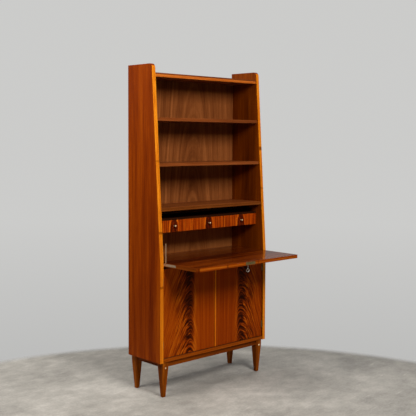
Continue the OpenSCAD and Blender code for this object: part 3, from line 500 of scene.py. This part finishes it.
knob_brass = metal("knob brass", (0.66, 0.50, 0.28), (0.30, 0.20, 0.09), 0.45, 0.3)
stud_brass = metal("stud brass", (0.98, 0.80, 0.48), (0.62, 0.42, 0.20), 0.3, 0.40)
plate_brass = metal("plate brass", (0.33, 0.24, 0.09), (0.15, 0.10, 0.04), 0.6, 0.42)
hinge_brass = metal("hinge brass", (0.22, 0.16, 0.07), (0.09, 0.06, 0.03), 0.6, 0.45)
stay_metal = metal("stay metal", (0.42, 0.30, 0.18), (0.22, 0.15, 0.09), 0.45, 0.42, 0.5)
key_nickel = metal("key nickel", (0.46, 0.43, 0.38), (0.22, 0.19, 0.15), 0.5, 0.3)
screw_steel = metal("screw steel", (0.46, 0.45, 0.43), (0.22, 0.19, 0.15), 0.5, 0.38)
print("the last metal is", screw_steel.material.name)

# %% [markdown]
# Before the pieces, some habits of modelling by hand are written down as helpers. An operator
# works on what is selected, and the loaded frame arrives selected, so each helper first selects
# exactly what it means. Faces and edges are picked by where they are and where they face.

# %% Picking
def pick(*pieces):
    bpy.ops.object.select_all(action="DESELECT")
    for piece in pieces:
        piece.select_set(True)
    bpy.context.view_layer.objects.active = pieces[0]


def open_for_edit(piece, kind, wanted):
    """Opens a piece with only its wanted verts, edges or faces selected."""
    pick(piece)
    bpy.ops.object.mode_set(mode="EDIT")
    bpy.ops.mesh.select_mode(type=kind)
    bpy.ops.mesh.select_all(action="DESELECT")
    bpy.ops.object.mode_set(mode="OBJECT")
    mesh = piece.data
    if kind == "FACE":
        chosen = [f for f in mesh.polygons if wanted(f.center, f.normal)]
    elif kind == "EDGE":
        chosen = [e for e in mesh.edges if wanted(*(mesh.vertices[v].co for v in e.vertices))]
    else:
        chosen = [v for v in mesh.vertices if wanted(v.co)]
    for part in chosen:
        part.select = True
    bpy.ops.object.mode_set(mode="EDIT")


def close():
    bpy.ops.object.mode_set(mode="OBJECT")


def near(a, b, slack=0.0002):
    return abs(a - b) < slack


print("meshes are picked by VERT, EDGE or FACE")

# %% [markdown]
# Nearly every piece of the desk is a board. It starts as a cube primitive at its size and place,
# is shaped, and then has its sharp corners eased with a small bevel, because only a rounded corner
# catches the light.

# %% Boards
ROOM = 0.0002  # play between a cut and what lies in it
PAST = 0.01  # how far a cutter reaches beyond the surface that it opens


def board(name, low, high):
    """A cube primitive that fills the box from low to high."""
    bpy.ops.object.select_all(action="DESELECT")
    low, high = Vector(low), Vector(high)
    bpy.ops.mesh.primitive_cube_add(size=1, location=(low + high) / 2, scale=high - low)
    bpy.ops.object.transform_apply()
    bpy.context.object.name = name
    return bpy.context.object


def split(piece, point, normal):
    """Bisects the whole piece along a plane, and keeps both halves joined."""
    open_for_edit(piece, "FACE", lambda centre, facing: True)
    bpy.ops.mesh.bisect(plane_co=point, plane_no=normal)
    close()


def carve(piece, low, high):
    """Cuts the box from low to high out of a piece."""
    cutter = board("cutter", low, high)
    pick(piece)
    cut = piece.modifiers.new("carve", "BOOLEAN")
    cut.operation, cut.solver, cut.object = "DIFFERENCE", "EXACT", cutter
    bpy.ops.object.modifier_apply(modifier=cut.name)
    bpy.data.objects.remove(cutter)


def ease(piece, width=0.0008, segments=2, angle=35):
    """Bevels every sharp corner and smooths the shading over it."""
    pick(piece)
    bevel = piece.modifiers.new("ease", "BEVEL")
    bevel.width, bevel.segments = width, segments
    bevel.limit_method, bevel.angle_limit = "ANGLE", math.radians(angle)
    bevel.use_clamp_overlap = True
    bpy.ops.object.modifier_apply(modifier=bevel.name)
    smooth(piece)


def smooth(piece, angle=40):
    pick(piece)
    bpy.ops.object.shade_smooth_by_angle(angle=math.radians(angle))


print("a board is a cube primitive, split, carved and eased")

# %% [markdown]
# Turned pieces, such as knobs, studs and screws, are made as on a lathe: a disc is extruded along
# its axis step by step, and each new end is scaled to its radius. A finished piece is told which
# body of the frame it moves with, which solids of the frame it stands for, and its finishes: one
# for the whole piece, and others for the faces that a rule picks.

# %% Turning and delivering
def turned(name, profile, foot, aim, vertices=32):
    """profile is (distance along the axis, radius) from the foot; aim is the axis."""
    bpy.ops.object.select_all(action="DESELECT")
    along, radius = profile[0]
    bpy.ops.mesh.primitive_circle_add(vertices=vertices, radius=radius, fill_type="NGON",
                                      location=(0, 0, along))
    bpy.ops.object.transform_apply()
    piece = bpy.context.object
    piece.name = name
    bpy.ops.object.mode_set(mode="EDIT")
    bpy.ops.mesh.select_all(action="SELECT")
    for distance, wide in profile[1:]:
        bpy.ops.mesh.extrude_region_move(
            TRANSFORM_OT_translate={"value": (0, 0, distance - along)})
        scale = wide / radius
        bpy.ops.transform.resize(value=(scale, scale, 1), center_override=(0, 0, distance))
        along, radius = distance, wide
    bpy.ops.mesh.select_all(action="SELECT")
    bpy.ops.mesh.normals_make_consistent(inside=False)
    close()
    piece.location = foot
    piece.rotation_euler = Vector(aim).to_track_quat("Z", "Y").to_euler()
    bpy.ops.object.transform_apply()
    smooth(piece)
    return piece


def joined(name, *pieces):
    pick(*pieces)
    bpy.ops.object.join()
    bpy.context.object.name = name
    return bpy.context.object


def copy_moved(piece, name, move):
    """A copy with its own mesh, moved by move."""
    pick(piece)
    bpy.ops.object.duplicate(linked=False)
    copy = bpy.context.object
    copy.name, copy.location = name, move
    bpy.ops.object.transform_apply()
    return copy


def deliver(piece, body, slot, stands_for, finish, *others):
    """others are (finish, rule) pairs; a rule takes a face's centre and normal."""
    piece.data.materials.clear()
    for made in (finish, *(other[0] for other in others)):
        piece.data.materials.append(made.material)
    for face in piece.data.polygons:
        face.material_index = 0
        for number, (_, rule) in enumerate(others, 1):
            if rule(face.center, face.normal):
                face.material_index = number
    pick(piece)
    even = piece.modifiers.new("even", "WEIGHTED_NORMAL")
    even.keep_sharp = True
    bpy.ops.object.modifier_apply(modifier=even.name)
    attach(piece, body)
    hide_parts(*stands_for)
    print(f"{piece.name}: {len(piece.data.polygons)} faces, stands for {len(stands_for)}")


def drawn(*nodes, finish):
    """Solids of the frame whose shape is already right only get their finish."""
    for name in nodes:
        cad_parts[name].data.materials.clear()
        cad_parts[name].data.materials.append(finish.material)
    print(finish.material.name, "on", len(nodes), "solids of the frame")


print("each finished piece prints its faces")

# %% [markdown]
# A side is one tall board. Its front edge is upright up to the writing height and leans back above
# it, and its top front corner is rounded. The board is split at the writing height, so that only
# the upper front corners can be slid back. Two more splits run just behind the front edge, and
# mark off the solid lipping that covers it.

# %% Sides
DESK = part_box("desk_floor")[1].z
SIDE_TOP_DEPTH = 0.204
CORNER_RADIUS = 0.024
LIPPING = 0.003
left_low, left_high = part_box("left_side")
right_low, right_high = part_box("right_side")
FRONT, BACK, TOP = left_low.y, left_high.y, left_high.z
LEAN = (BACK - SIDE_TOP_DEPTH - FRONT) / (TOP - DESK)
panel_low, panel_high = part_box("back_panel")


def front_at(z):
    """Where the sides' front edge is, at height z."""
    return FRONT + max(0, z - DESK) * LEAN


def on_front(centre, normal):
    return centre.y < front_at(centre.z) + LIPPING


def side(name, node, low, high, edging_finish):
    piece = board(name, low, high)
    split(piece, (0, 0, DESK), (0, 0, 1))
    open_for_edit(piece, "VERT", lambda v: v.z > TOP - 0.01 and v.y < FRONT + 0.01)
    bpy.ops.transform.translate(value=(0, LEAN * (TOP - DESK), 0))
    close()
    open_for_edit(piece, "EDGE", lambda a, b: near(a.z, TOP) and near(b.z, TOP)
                  and near(a.y, front_at(TOP)) and near(b.y, front_at(TOP)))
    bpy.ops.mesh.bevel(offset=CORNER_RADIUS * 0.93, segments=8, profile=0.5)
    close()
    on_left = high.x < 0
    inner = high.x if on_left else low.x
    near_x, far_x = (panel_low.x - ROOM, inner) if on_left else (inner, panel_high.x + ROOM)
    carve(piece, (near_x, panel_low.y, low.z - PAST), (far_x, BACK + PAST, panel_high.z))
    ease(piece, 0.0014, 3)
    split(piece, (0, FRONT + LIPPING, 0), (0, 1, 0))
    split(piece, (0, FRONT + LIPPING, DESK), (0, 1, -LEAN))
    deliver(piece, "carcass", "veneer_sides", [node], side_veneer, (edging_finish, on_front),
            (inner_veneer, lambda c, n: abs(c.x) < abs(inner) + 0.0005))


side("left_side_board", "left_side", left_low, left_high, left_edging)
side("right_side_board", "right_side", right_low, right_high, right_edging)

# %% [markdown]
# The fixed boards between the sides are each let into them, so their ends are never seen. The top
# and bottom boards, the compartment's roof and the cupboard shelf carry a solid front edge. The
# two open shelves are veneered all round and their front arris is rounder.

# %% Shelves and fixed boards
INNER = left_high.x
LIP = 0.004


def spanning(name, node, finish, edge, slot, arris=0.0012, cap=0):
    """A board between the sides, without its let-in ends, with a lipped front edge. With a cap,
    the board's own veneer comes down over the top of that edge."""
    low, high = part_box(node)
    low.x, high.x = max(low.x, INNER), min(high.x, -INNER)

    def on_lip(centre, normal):
        return centre.y < low.y + LIP - 0.0001 and centre.z < high.z - cap

    piece = board(name, low, high)
    if edge:
        split(piece, (0, low.y + LIP, 0), (0, 1, 0))
    ease(piece, arris, 3)
    if cap:
        split(piece, (0, 0, high.z - cap), (0, 0, 1))
    deliver(piece, "carcass", slot, [node], finish, *([(edge, on_lip)] if edge else []))


spanning("top_board_piece", "top_board", shelf_veneer, rail_edging, "solid_edges", 0.0016,
         cap=0.008)
spanning("upper_shelf_board", "upper_shelf", shelf_veneer, None, "shelf_wood", 0.0016)
spanning("lower_shelf_board", "lower_shelf", shelf_veneer, None, "shelf_wood", 0.0016)
spanning("compartment_roof_board", "compartment_roof", shelf_veneer, roof_edging, "solid_edges")
spanning("cupboard_shelf_board", "cupboard_shelf", shelf_veneer, roof_edging, "shelf_wood")
spanning("bottom_board_piece", "bottom_board", shelf_veneer, bottom_edging, "solid_edges")
spanning("desk_floor_board", "desk_floor", desk_veneer, None, "veneer_sides", 0.0006)
spanning("head_rail_piece", "door_head_rail", apron_wood, None, "veneer_sides")
spanning("drawer_case_top_board", "drawer_case_top", shaded_wood, None, "flame_veneer", 0.0008)

# %% [markdown]
# The back is one thin veneered panel in a rebate, held by a row of screws down each side and
# across each fixed board. A screw is turned once, its head gets a carved cross, and it is copied
# to every place where the frame has one.

# %% Back panel and its screws
back = board("back_panel_board", panel_low, panel_high)
ease(back, 0.0005)
deliver(back, "carcass", "back_wood", ["back_panel"], back_veneer,
        (outside_veneer, lambda c, n: n.y > 0.5))

PANEL_BACK = panel_high.y
SCREW_ROWS, ROW_END, BESIDE = 8, 0.03, 0.004 - INNER
row_step = (panel_high.z - panel_low.z - 2 * ROW_END) / (SCREW_ROWS - 1)
screw_places = [(hand * BESIDE, panel_low.z + ROW_END + row * row_step)
                for hand in (-1, 1) for row in range(SCREW_ROWS)]
for node in ("bottom_board", "desk_floor", "compartment_roof"):
    low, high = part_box(node)
    screw_places += [(share * -INNER, (low.z + high.z) / 2) for share in (-0.6, 0, 0.6)]

screw = turned("back_screw", [(-0.012, 0.0004), (-0.009, 0.0015), (-0.002, 0.0015),
                              (0, 0.0032), (0.0003, 0.0031), (0.0006, 0.0022), (0.0007, 0.0009)],
               (0, PANEL_BACK, 0), (0, 1, 0), 16)
ARM, ARM_WIDTH, CROSS_DEPTH = 0.0022, 0.0004, 0.0006
for half_x, half_z in ((ARM, ARM_WIDTH), (ARM_WIDTH, ARM)):
    carve(screw, (-half_x, PANEL_BACK - CROSS_DEPTH, -half_z),
          (half_x, PANEL_BACK + PAST, half_z))
smooth(screw)
screws = [copy_moved(screw, "screw_copy", (x, 0, z)) for x, z in screw_places]
bpy.data.objects.remove(screw)
deliver(joined("back_panel_screws", *screws), "carcass", "steel", ["back_screws"], screw_steel)

# %% [markdown]
# Underneath, four aprons join four legs. A leg is square, straight where the aprons meet it, and
# tapered below them on all four faces. It starts as a board split at the apron's lower edge, and
# then only the foot's corners are scaled towards the leg's own axis.

# %% Legs and aprons
APRON_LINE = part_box("front_apron")[0].z
FOOT_SHARE = 20 / 42


def leg(name, node):
    low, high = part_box(node)
    middle = (low + high) / 2
    piece = board(name, low, high)
    split(piece, (0, 0, APRON_LINE), (0, 0, 1))
    open_for_edit(piece, "VERT", lambda v: v.z < low.z + 0.001)
    bpy.ops.transform.resize(value=(FOOT_SHARE, FOOT_SHARE, 1),
                             center_override=(middle.x, middle.y, low.z))
    close()
    ease(piece, 0.0022, 3, 30)
    deliver(piece, "carcass", "leg_wood", [node], leg_wood)


for corner in ("front_left", "front_right", "back_left", "back_right"):
    leg(corner + "_leg_piece", corner + "_leg")


def plain_board(name, node, finish, slot, arris=0.001, body="carcass", *others):
    piece = board(name, *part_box(node))
    ease(piece, arris, 3)
    deliver(piece, body, slot, [node], finish, *others)


for place, wood in (("front", apron_wood), ("back", apron_wood),
                    ("left", side_apron_wood), ("right", side_apron_wood)):
    plain_board(place + "_apron_board", place + "_apron", wood, "leg_wood")

# %% [markdown]
# A round brass stud sits in the face of each front leg, just under the apron: a low dome, turned
# in one piece with its shank.

# %% Studs
stud_low, stud_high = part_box("leg_studs")
leg_low, leg_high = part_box("front_right_leg")
stud_x, stud_z = (leg_low.x + leg_high.x) / 2, (stud_low.z + stud_high.z) / 2
STUD, SHANK = 0.005, 0.0025
dome = [(-0.008, SHANK * 0.6), (-0.001, SHANK), (0, SHANK), (0, STUD), (0.0007, STUD),
        (0.0014, STUD * 0.92), (0.0021, STUD * 0.74), (0.0027, STUD * 0.46), (0.003, STUD * 0.16)]
studs = [turned("stud", dome, (hand * stud_x, leg_low.y, stud_z), (0, -1, 0)) for hand in (-1, 1)]
deliver(joined("brass_leg_studs", *studs), "carcass", "brass", ["leg_studs"], stud_brass)

# %% [markdown]
# The flap is a veneered panel with solid lippings on its front and its two ends. Its rear edge is
# half round, a bevel of two corners, because it turns there against the desk floor. The top veneer
# runs on over the lippings. A mortise for the lock case is cut into the panel and its front
# lipping, with a keyhole below it.

# %% Flap
flap_low, flap_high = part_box("flap_panel")
end_low, end_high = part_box("flap_end_lippings")
UP = 0.9


def with_nose(name, low, high):
    """A board whose two long rear edges are bevelled into a half round."""
    low, high = Vector(low), Vector(high)
    piece = board(name, low, high)
    open_for_edit(piece, "EDGE", lambda a, b: near(a.y, high.y) and near(b.y, high.y)
                  and near(a.z, b.z))
    bpy.ops.mesh.bevel(offset=(high.z - low.z) / 2 * 0.995, segments=10, profile=0.5)
    close()
    ease(piece, 0.0004, 2, 50)
    return piece


def topside(centre, normal):
    return normal.z > UP


case_low, case_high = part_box("lock_case")
ring_low, ring_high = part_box("keyhole_escutcheon")
key_y = (ring_low.y + ring_high.y) / 2
CASE_ROOM = Vector((ROOM, ROOM, ROOM))
STEM_HOLE, BIT_HOLE, BIT_REACH = 0.0023, 0.0014, 0.007


def let_in_lock(piece):
    """Cuts the mortise of the lock case, and the keyhole from the underside up to it."""
    carve(piece, case_low - CASE_ROOM, case_high + CASE_ROOM)
    for half, reach in ((BIT_HOLE, BIT_REACH), (STEM_HOLE, STEM_HOLE)):
        carve(piece, (-half, key_y - STEM_HOLE, flap_low.z - PAST),
              (half, key_y + reach, case_low.z + 0.001))


flap_panel = with_nose("flap_panel_board", flap_low, flap_high)
let_in_lock(flap_panel)
deliver(flap_panel, "flap", "flap_veneer", ["flap_panel"], desk_veneer,
        (flap_face, lambda c, n: n.z < -UP))

stay_low, stay_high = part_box("stay_arm")
plate_middle = (flap_low.z + flap_high.z) / 2
PLATE_HALF, BAR_WIDTH, BAR_FRONT = 0.0065, 0.006, -0.0215
BAR_BACK = BAR_FRONT + BAR_WIDTH
stay_back = max(v.co.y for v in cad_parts["stay_arm"].data.vertices
                if near(v.co.z, plate_middle - PLATE_HALF))
ends = [with_nose("end", end_low, (flap_low.x, end_high.y, end_high.z)),
        with_nose("end", (flap_high.x, end_low.y, end_low.z), end_high)]
for front, rear, foot, top in (
        (stay_low.y, stay_back, plate_middle - PLATE_HALF, plate_middle + PLATE_HALF),
        (BAR_FRONT, BAR_BACK, plate_middle, end_high.z + PAST)):
    carve(ends[0], (stay_low.x - PAST, front - ROOM, foot - ROOM),
          (stay_high.x + ROOM, rear + ROOM, top + ROOM))
deliver(joined("flap_end_edges", *ends), "flap", "solid_edges", ["flap_end_lippings"],
        flap_end_edging, (desk_veneer, topside))

plate_low, plate_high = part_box("lock_plate")
PLATE_ROOM = Vector((0.0001, 0, 0.0001))
front_edge = board("flap_front_edge", *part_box("flap_front_lipping"))
carve(front_edge, plate_low - PLATE_ROOM - Vector((0, PAST, 0)), plate_high + PLATE_ROOM)
ease(front_edge, 0.0011, 3)
let_in_lock(front_edge)
deliver(front_edge, "flap", "solid_edges", ["flap_front_lipping"], flap_edging,
        (desk_veneer, topside))

# %% [markdown]
# The lock lies in the middle of the free edge. Its plate is flush with the wood, with a slot that
# the bolt comes out of and a countersunk screw at each end. The key hangs from the keyhole on the
# underside. Its bow is a torus, stretched a little sideways. The stem and its collar are turned,
# and the bit is a small flag at the far end.

# %% Lock plate and key
bolt_low, bolt_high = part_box("lock_bolt")
plate = board("lock_plate_piece", plate_low, plate_high)
BOLT_ROOM, PLATE_SCREW_X, SCREW_SLOT = 0.0003, 0.031, 0.0003
carve(plate, (bolt_low.x - BOLT_ROOM, plate_low.y - PAST, bolt_low.z - BOLT_ROOM),
      (bolt_high.x + BOLT_ROOM, plate_high.y + PAST, bolt_high.z + BOLT_ROOM))
ease(plate, 0.0003)
plate_z = (plate_low.z + plate_high.z) / 2
plate_screws = [turned("plate_screw", [(0, 0.0028), (0.0002, 0.0027), (0.0004, 0.0014)],
                       (hand * PLATE_SCREW_X, plate_low.y, plate_z), (0, -1, 0), 16)
                for hand in (-1, 1)]
for small in plate_screws:
    carve(small, (plate_low.x, plate_low.y - 0.001, plate_z - SCREW_SLOT),
          (plate_high.x, plate_low.y - 0.0001, plate_z + SCREW_SLOT))
deliver(joined("lock_plate_piece", plate, *plate_screws), "flap", "brass", ["lock_plate"],
        plate_brass)

key_low, key_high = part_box("key")
BOW_HEIGHT, BOW_WIRE = 0.020, 0.0017
bow_middle = (0, key_y, key_low.z + BOW_HEIGHT / 2)
bpy.ops.object.select_all(action="DESELECT")
bpy.ops.mesh.primitive_torus_add(major_segments=40, minor_segments=12,
                                 major_radius=BOW_HEIGHT / 2 - BOW_WIRE, minor_radius=BOW_WIRE,
                                 location=bow_middle, rotation=(math.pi / 2, 0, 0))
bow = bpy.context.object
bpy.ops.object.transform_apply()
open_for_edit(bow, "VERT", lambda v: True)
bpy.ops.transform.resize(value=((key_high.x - key_low.x) / BOW_HEIGHT, 0.9, 1),
                         center_override=bow_middle)
close()
smooth(bow)
stem_foot = key_low.z + BOW_HEIGHT - BOW_WIRE * 1.4
reach = key_high.z - stem_foot
STEM = 0.0019
stem = turned("stem", [(0, 0.0018), (0.0010, 0.0024), (0.0022, 0.0031), (0.0032, 0.0031),
                       (0.0040, 0.0022), (0.0052, 0.0027), (0.0060, STEM),
                       (reach - 0.0006, STEM), (reach, 0.0012)],
              (0, key_y, stem_foot), (0, 0, 1), 20)
BIT_HALF, BIT_LENGTH, BIT_LOW, BIT_HIGH = 0.001, 0.0065, 0.0091, 0.0055
bit = board("bit", (-BIT_HALF, key_y, key_high.z - BIT_LOW),
            (BIT_HALF, key_y + BIT_LENGTH, key_high.z - BIT_HIGH))
ease(bit, 0.0003)
deliver(joined("nickel_key", bow, stem, bit), "key", "nickel", ["key"], key_nickel)

rose = turned("keyhole_rose", [(0, 0.0045), (0, 0.007), (0.0008, 0.007), (0.0012, 0.0062),
                               (0.0012, 0.0030), (0.0004, 0.0026), (0.0004, 0.0005)],
              (0, key_y, ring_high.z), (0, 0, -1))
deliver(rose, "flap", "brass", ["keyhole_escutcheon"], plate_brass)

# %% [markdown]
# On the flap's left end lies the fitting that stays it: a narrow plate with three screws, and a
# slim bar that stands up beside the side of the desk when the flap is down. Plate and bar are two
# boards joined, and a bevel rounds the bar's end.

# %% Stay
stay_plate = board("stay_plate", (stay_low.x, stay_low.y, plate_middle - PLATE_HALF),
                   (stay_high.x, stay_back, plate_middle + PLATE_HALF))
ease(stay_plate, 0.0005)
bar = board("stay_bar", (stay_low.x, BAR_FRONT, plate_middle),
            (stay_high.x, BAR_BACK, stay_high.z))
open_for_edit(bar, "EDGE", lambda a, b: near(a.z, stay_high.z) and near(b.z, stay_high.z)
              and near(a.y, b.y))
bpy.ops.mesh.bevel(offset=BAR_WIDTH / 2 * 0.98, segments=6, profile=0.5)
close()
ease(bar, 0.0004)
deliver(joined("stay_fitting", stay_plate, bar), "flap", "nickel", ["stay_arm"], stay_metal)

screws_low, screws_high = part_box("stay_screws")
HEAD = (screws_high.z - screws_low.z) / 2
first, last = screws_low.y + HEAD, screws_high.y - HEAD
stay_screws = [turned("stay_screw", [(-0.003, 0.0015), (0, HEAD), (0.0003, HEAD * 0.9),
                                     (0.0005, HEAD * 0.55), (0.0006, HEAD * 0.2)],
                      (stay_low.x, first + (last - first) * share, plate_middle), (-1, 0, 0), 20)
               for share in (0, 0.5, 1)]
for small in stay_screws:
    carve(small, (stay_low.x - PAST, screws_low.y - PAST, plate_middle - SCREW_SLOT),
          (stay_low.x - 0.0001, screws_high.y + PAST, plate_middle + SCREW_SLOT))
deliver(joined("stay_screw_heads", *stay_screws), "flap", "steel", ["stay_screws"], screw_steel)

# %% [markdown]
# Each door is a flat board in the opening, faced with the show veneer and plain behind. Its outer
# edge is let in for the two hinge leaves. The pale strip down the meeting edge and the hinges have
# the right shape in the frame already, so they only take their finishes.

# %% Doors
LEAF_THICK, LEAF_LENGTH, LEAF_FROM_END = 0.0015, 0.040, 0.050


def door(node):
    low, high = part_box(node)
    piece = board(node + "_board", low, high)
    if low.x < 0:
        near_x, far_x = low.x - PAST, low.x + LEAF_THICK
    else:
        near_x, far_x = high.x - LEAF_THICK, high.x + PAST
    for bottom in (low.z + LEAF_FROM_END, high.z - (LEAF_FROM_END + LEAF_LENGTH)):
        carve(piece, (near_x, low.y - PAST, bottom),
              (far_x, high.y - 0.001, bottom + LEAF_LENGTH))
    ease(piece, 0.0009, 3)
    deliver(piece, node, "flame_veneer", [node], inner_veneer,
            (door_flame, lambda c, n: n.y < -0.5))


door("left_door")
door("right_door")
drawn("door_meeting_strip", finish=strip_edging)
drawn("left_door_hinge_leaves", "right_door_hinge_leaves", "frame_hinge_leaves", "hinge_pins",
      finish=hinge_brass)

# %% [markdown]
# Three small drawers hang side by side under a board, between two dividers. Their fronts are
# figured, and the boxes behind are plain pale wood: two sides, with a back and a bottom between
# them. The knob, a foot, a waist and a low mushroom head, with the nut that holds it behind the
# front, is turned once and copied.

# %% Drawers
CASE_WALL = 0.008


def two_walls(name, node, places, body):
    """Two upright boards of a drawer or its case, each from its place in x, one wall thick."""
    low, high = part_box(node)
    walls = [board("wall", (place, low.y, low.z), (place + CASE_WALL, high.y, high.z))
             for place in places]
    for wall in walls:
        ease(wall, 0.0006)
    deliver(joined(name, *walls), body, "pale_wood", [node], drawer_wood)


def drawer_box(body):
    low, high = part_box(body + "_sides")
    two_walls(body + "_side_boards", body + "_sides", (low.x, high.x - CASE_WALL), body)
    for part in ("_back", "_bottom"):
        part_low, part_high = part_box(body + part)
        part_low.x, part_high.x = low.x + CASE_WALL, high.x - CASE_WALL
        piece = board(body + part + "_board", part_low, part_high)
        ease(piece, 0.0004)
        deliver(piece, body, "pale_wood", [body + part], drawer_wood)


knob_low, knob_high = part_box("middle_drawer_knob")
KNOB = (knob_high.x - knob_low.x) / 2
knob_z = (knob_low.z + knob_high.z) / 2
reach = front_low.y - knob_low.y
knob_shape = [(distance, KNOB * share) for distance, share in (
    (0, 0.74), (0.0009, 0.78), (0.0018, 0.66), (0.0030, 0.50), (0.0050, 0.44), (0.0072, 0.52),
    (0.0088, 0.82), (0.0100, 0.97), (0.0113, 1), (0.0126, 0.95), (0.0139, 0.80), (0.0150, 0.56),
    (0.0157, 0.30), (reach, 0.1))]
knob = turned("knob", knob_shape, (0, front_low.y, knob_z), (0, -1, 0))
nut = turned("nut", [(0, 0.003), (0.0016, 0.003), (0.002, 0.0025)], (0, front_high.y, knob_z),
             (0, 1, 0), 6)
knob = joined("knob", knob, nut)
for index, place in ((-1, "left"), (0, "middle"), (1, "right")):
    body = place + "_drawer"
    plain_board(body + "_front_board", body + "_front", drawer_wood, "flame_veneer", 0.0008, body,
                (drawer_flame, lambda c, n: n.y < 0.5))
    copy = copy_moved(knob, body + "_knob_piece", (index * STEP, 0, 0))
    deliver(copy, body, "brass", [body + "_knob"], knob_brass)
    drawer_box(body)
bpy.data.objects.remove(knob)
spanning("drawer_case_bottom_board", "drawer_case_bottom", drawer_wood, None, "pale_wood", 0.0006)
two_walls("drawer_divider_boards", "drawer_dividers",
          [hand * STEP / 2 - CASE_WALL / 2 for hand in (-1, 1)], "carcass")

# %% [markdown]
# What is left is small hardware inside the desk: pins, the bolt and its strike, the lock case and
# the door catches. Their shapes are right already, so each only takes its metal.

# %% Small hardware
drawn("shelf_pins", "lock_bolt", "lock_strike", finish=plate_brass)
drawn("flap_pivot_pins", "door_catches", "lock_case", finish=screw_steel)
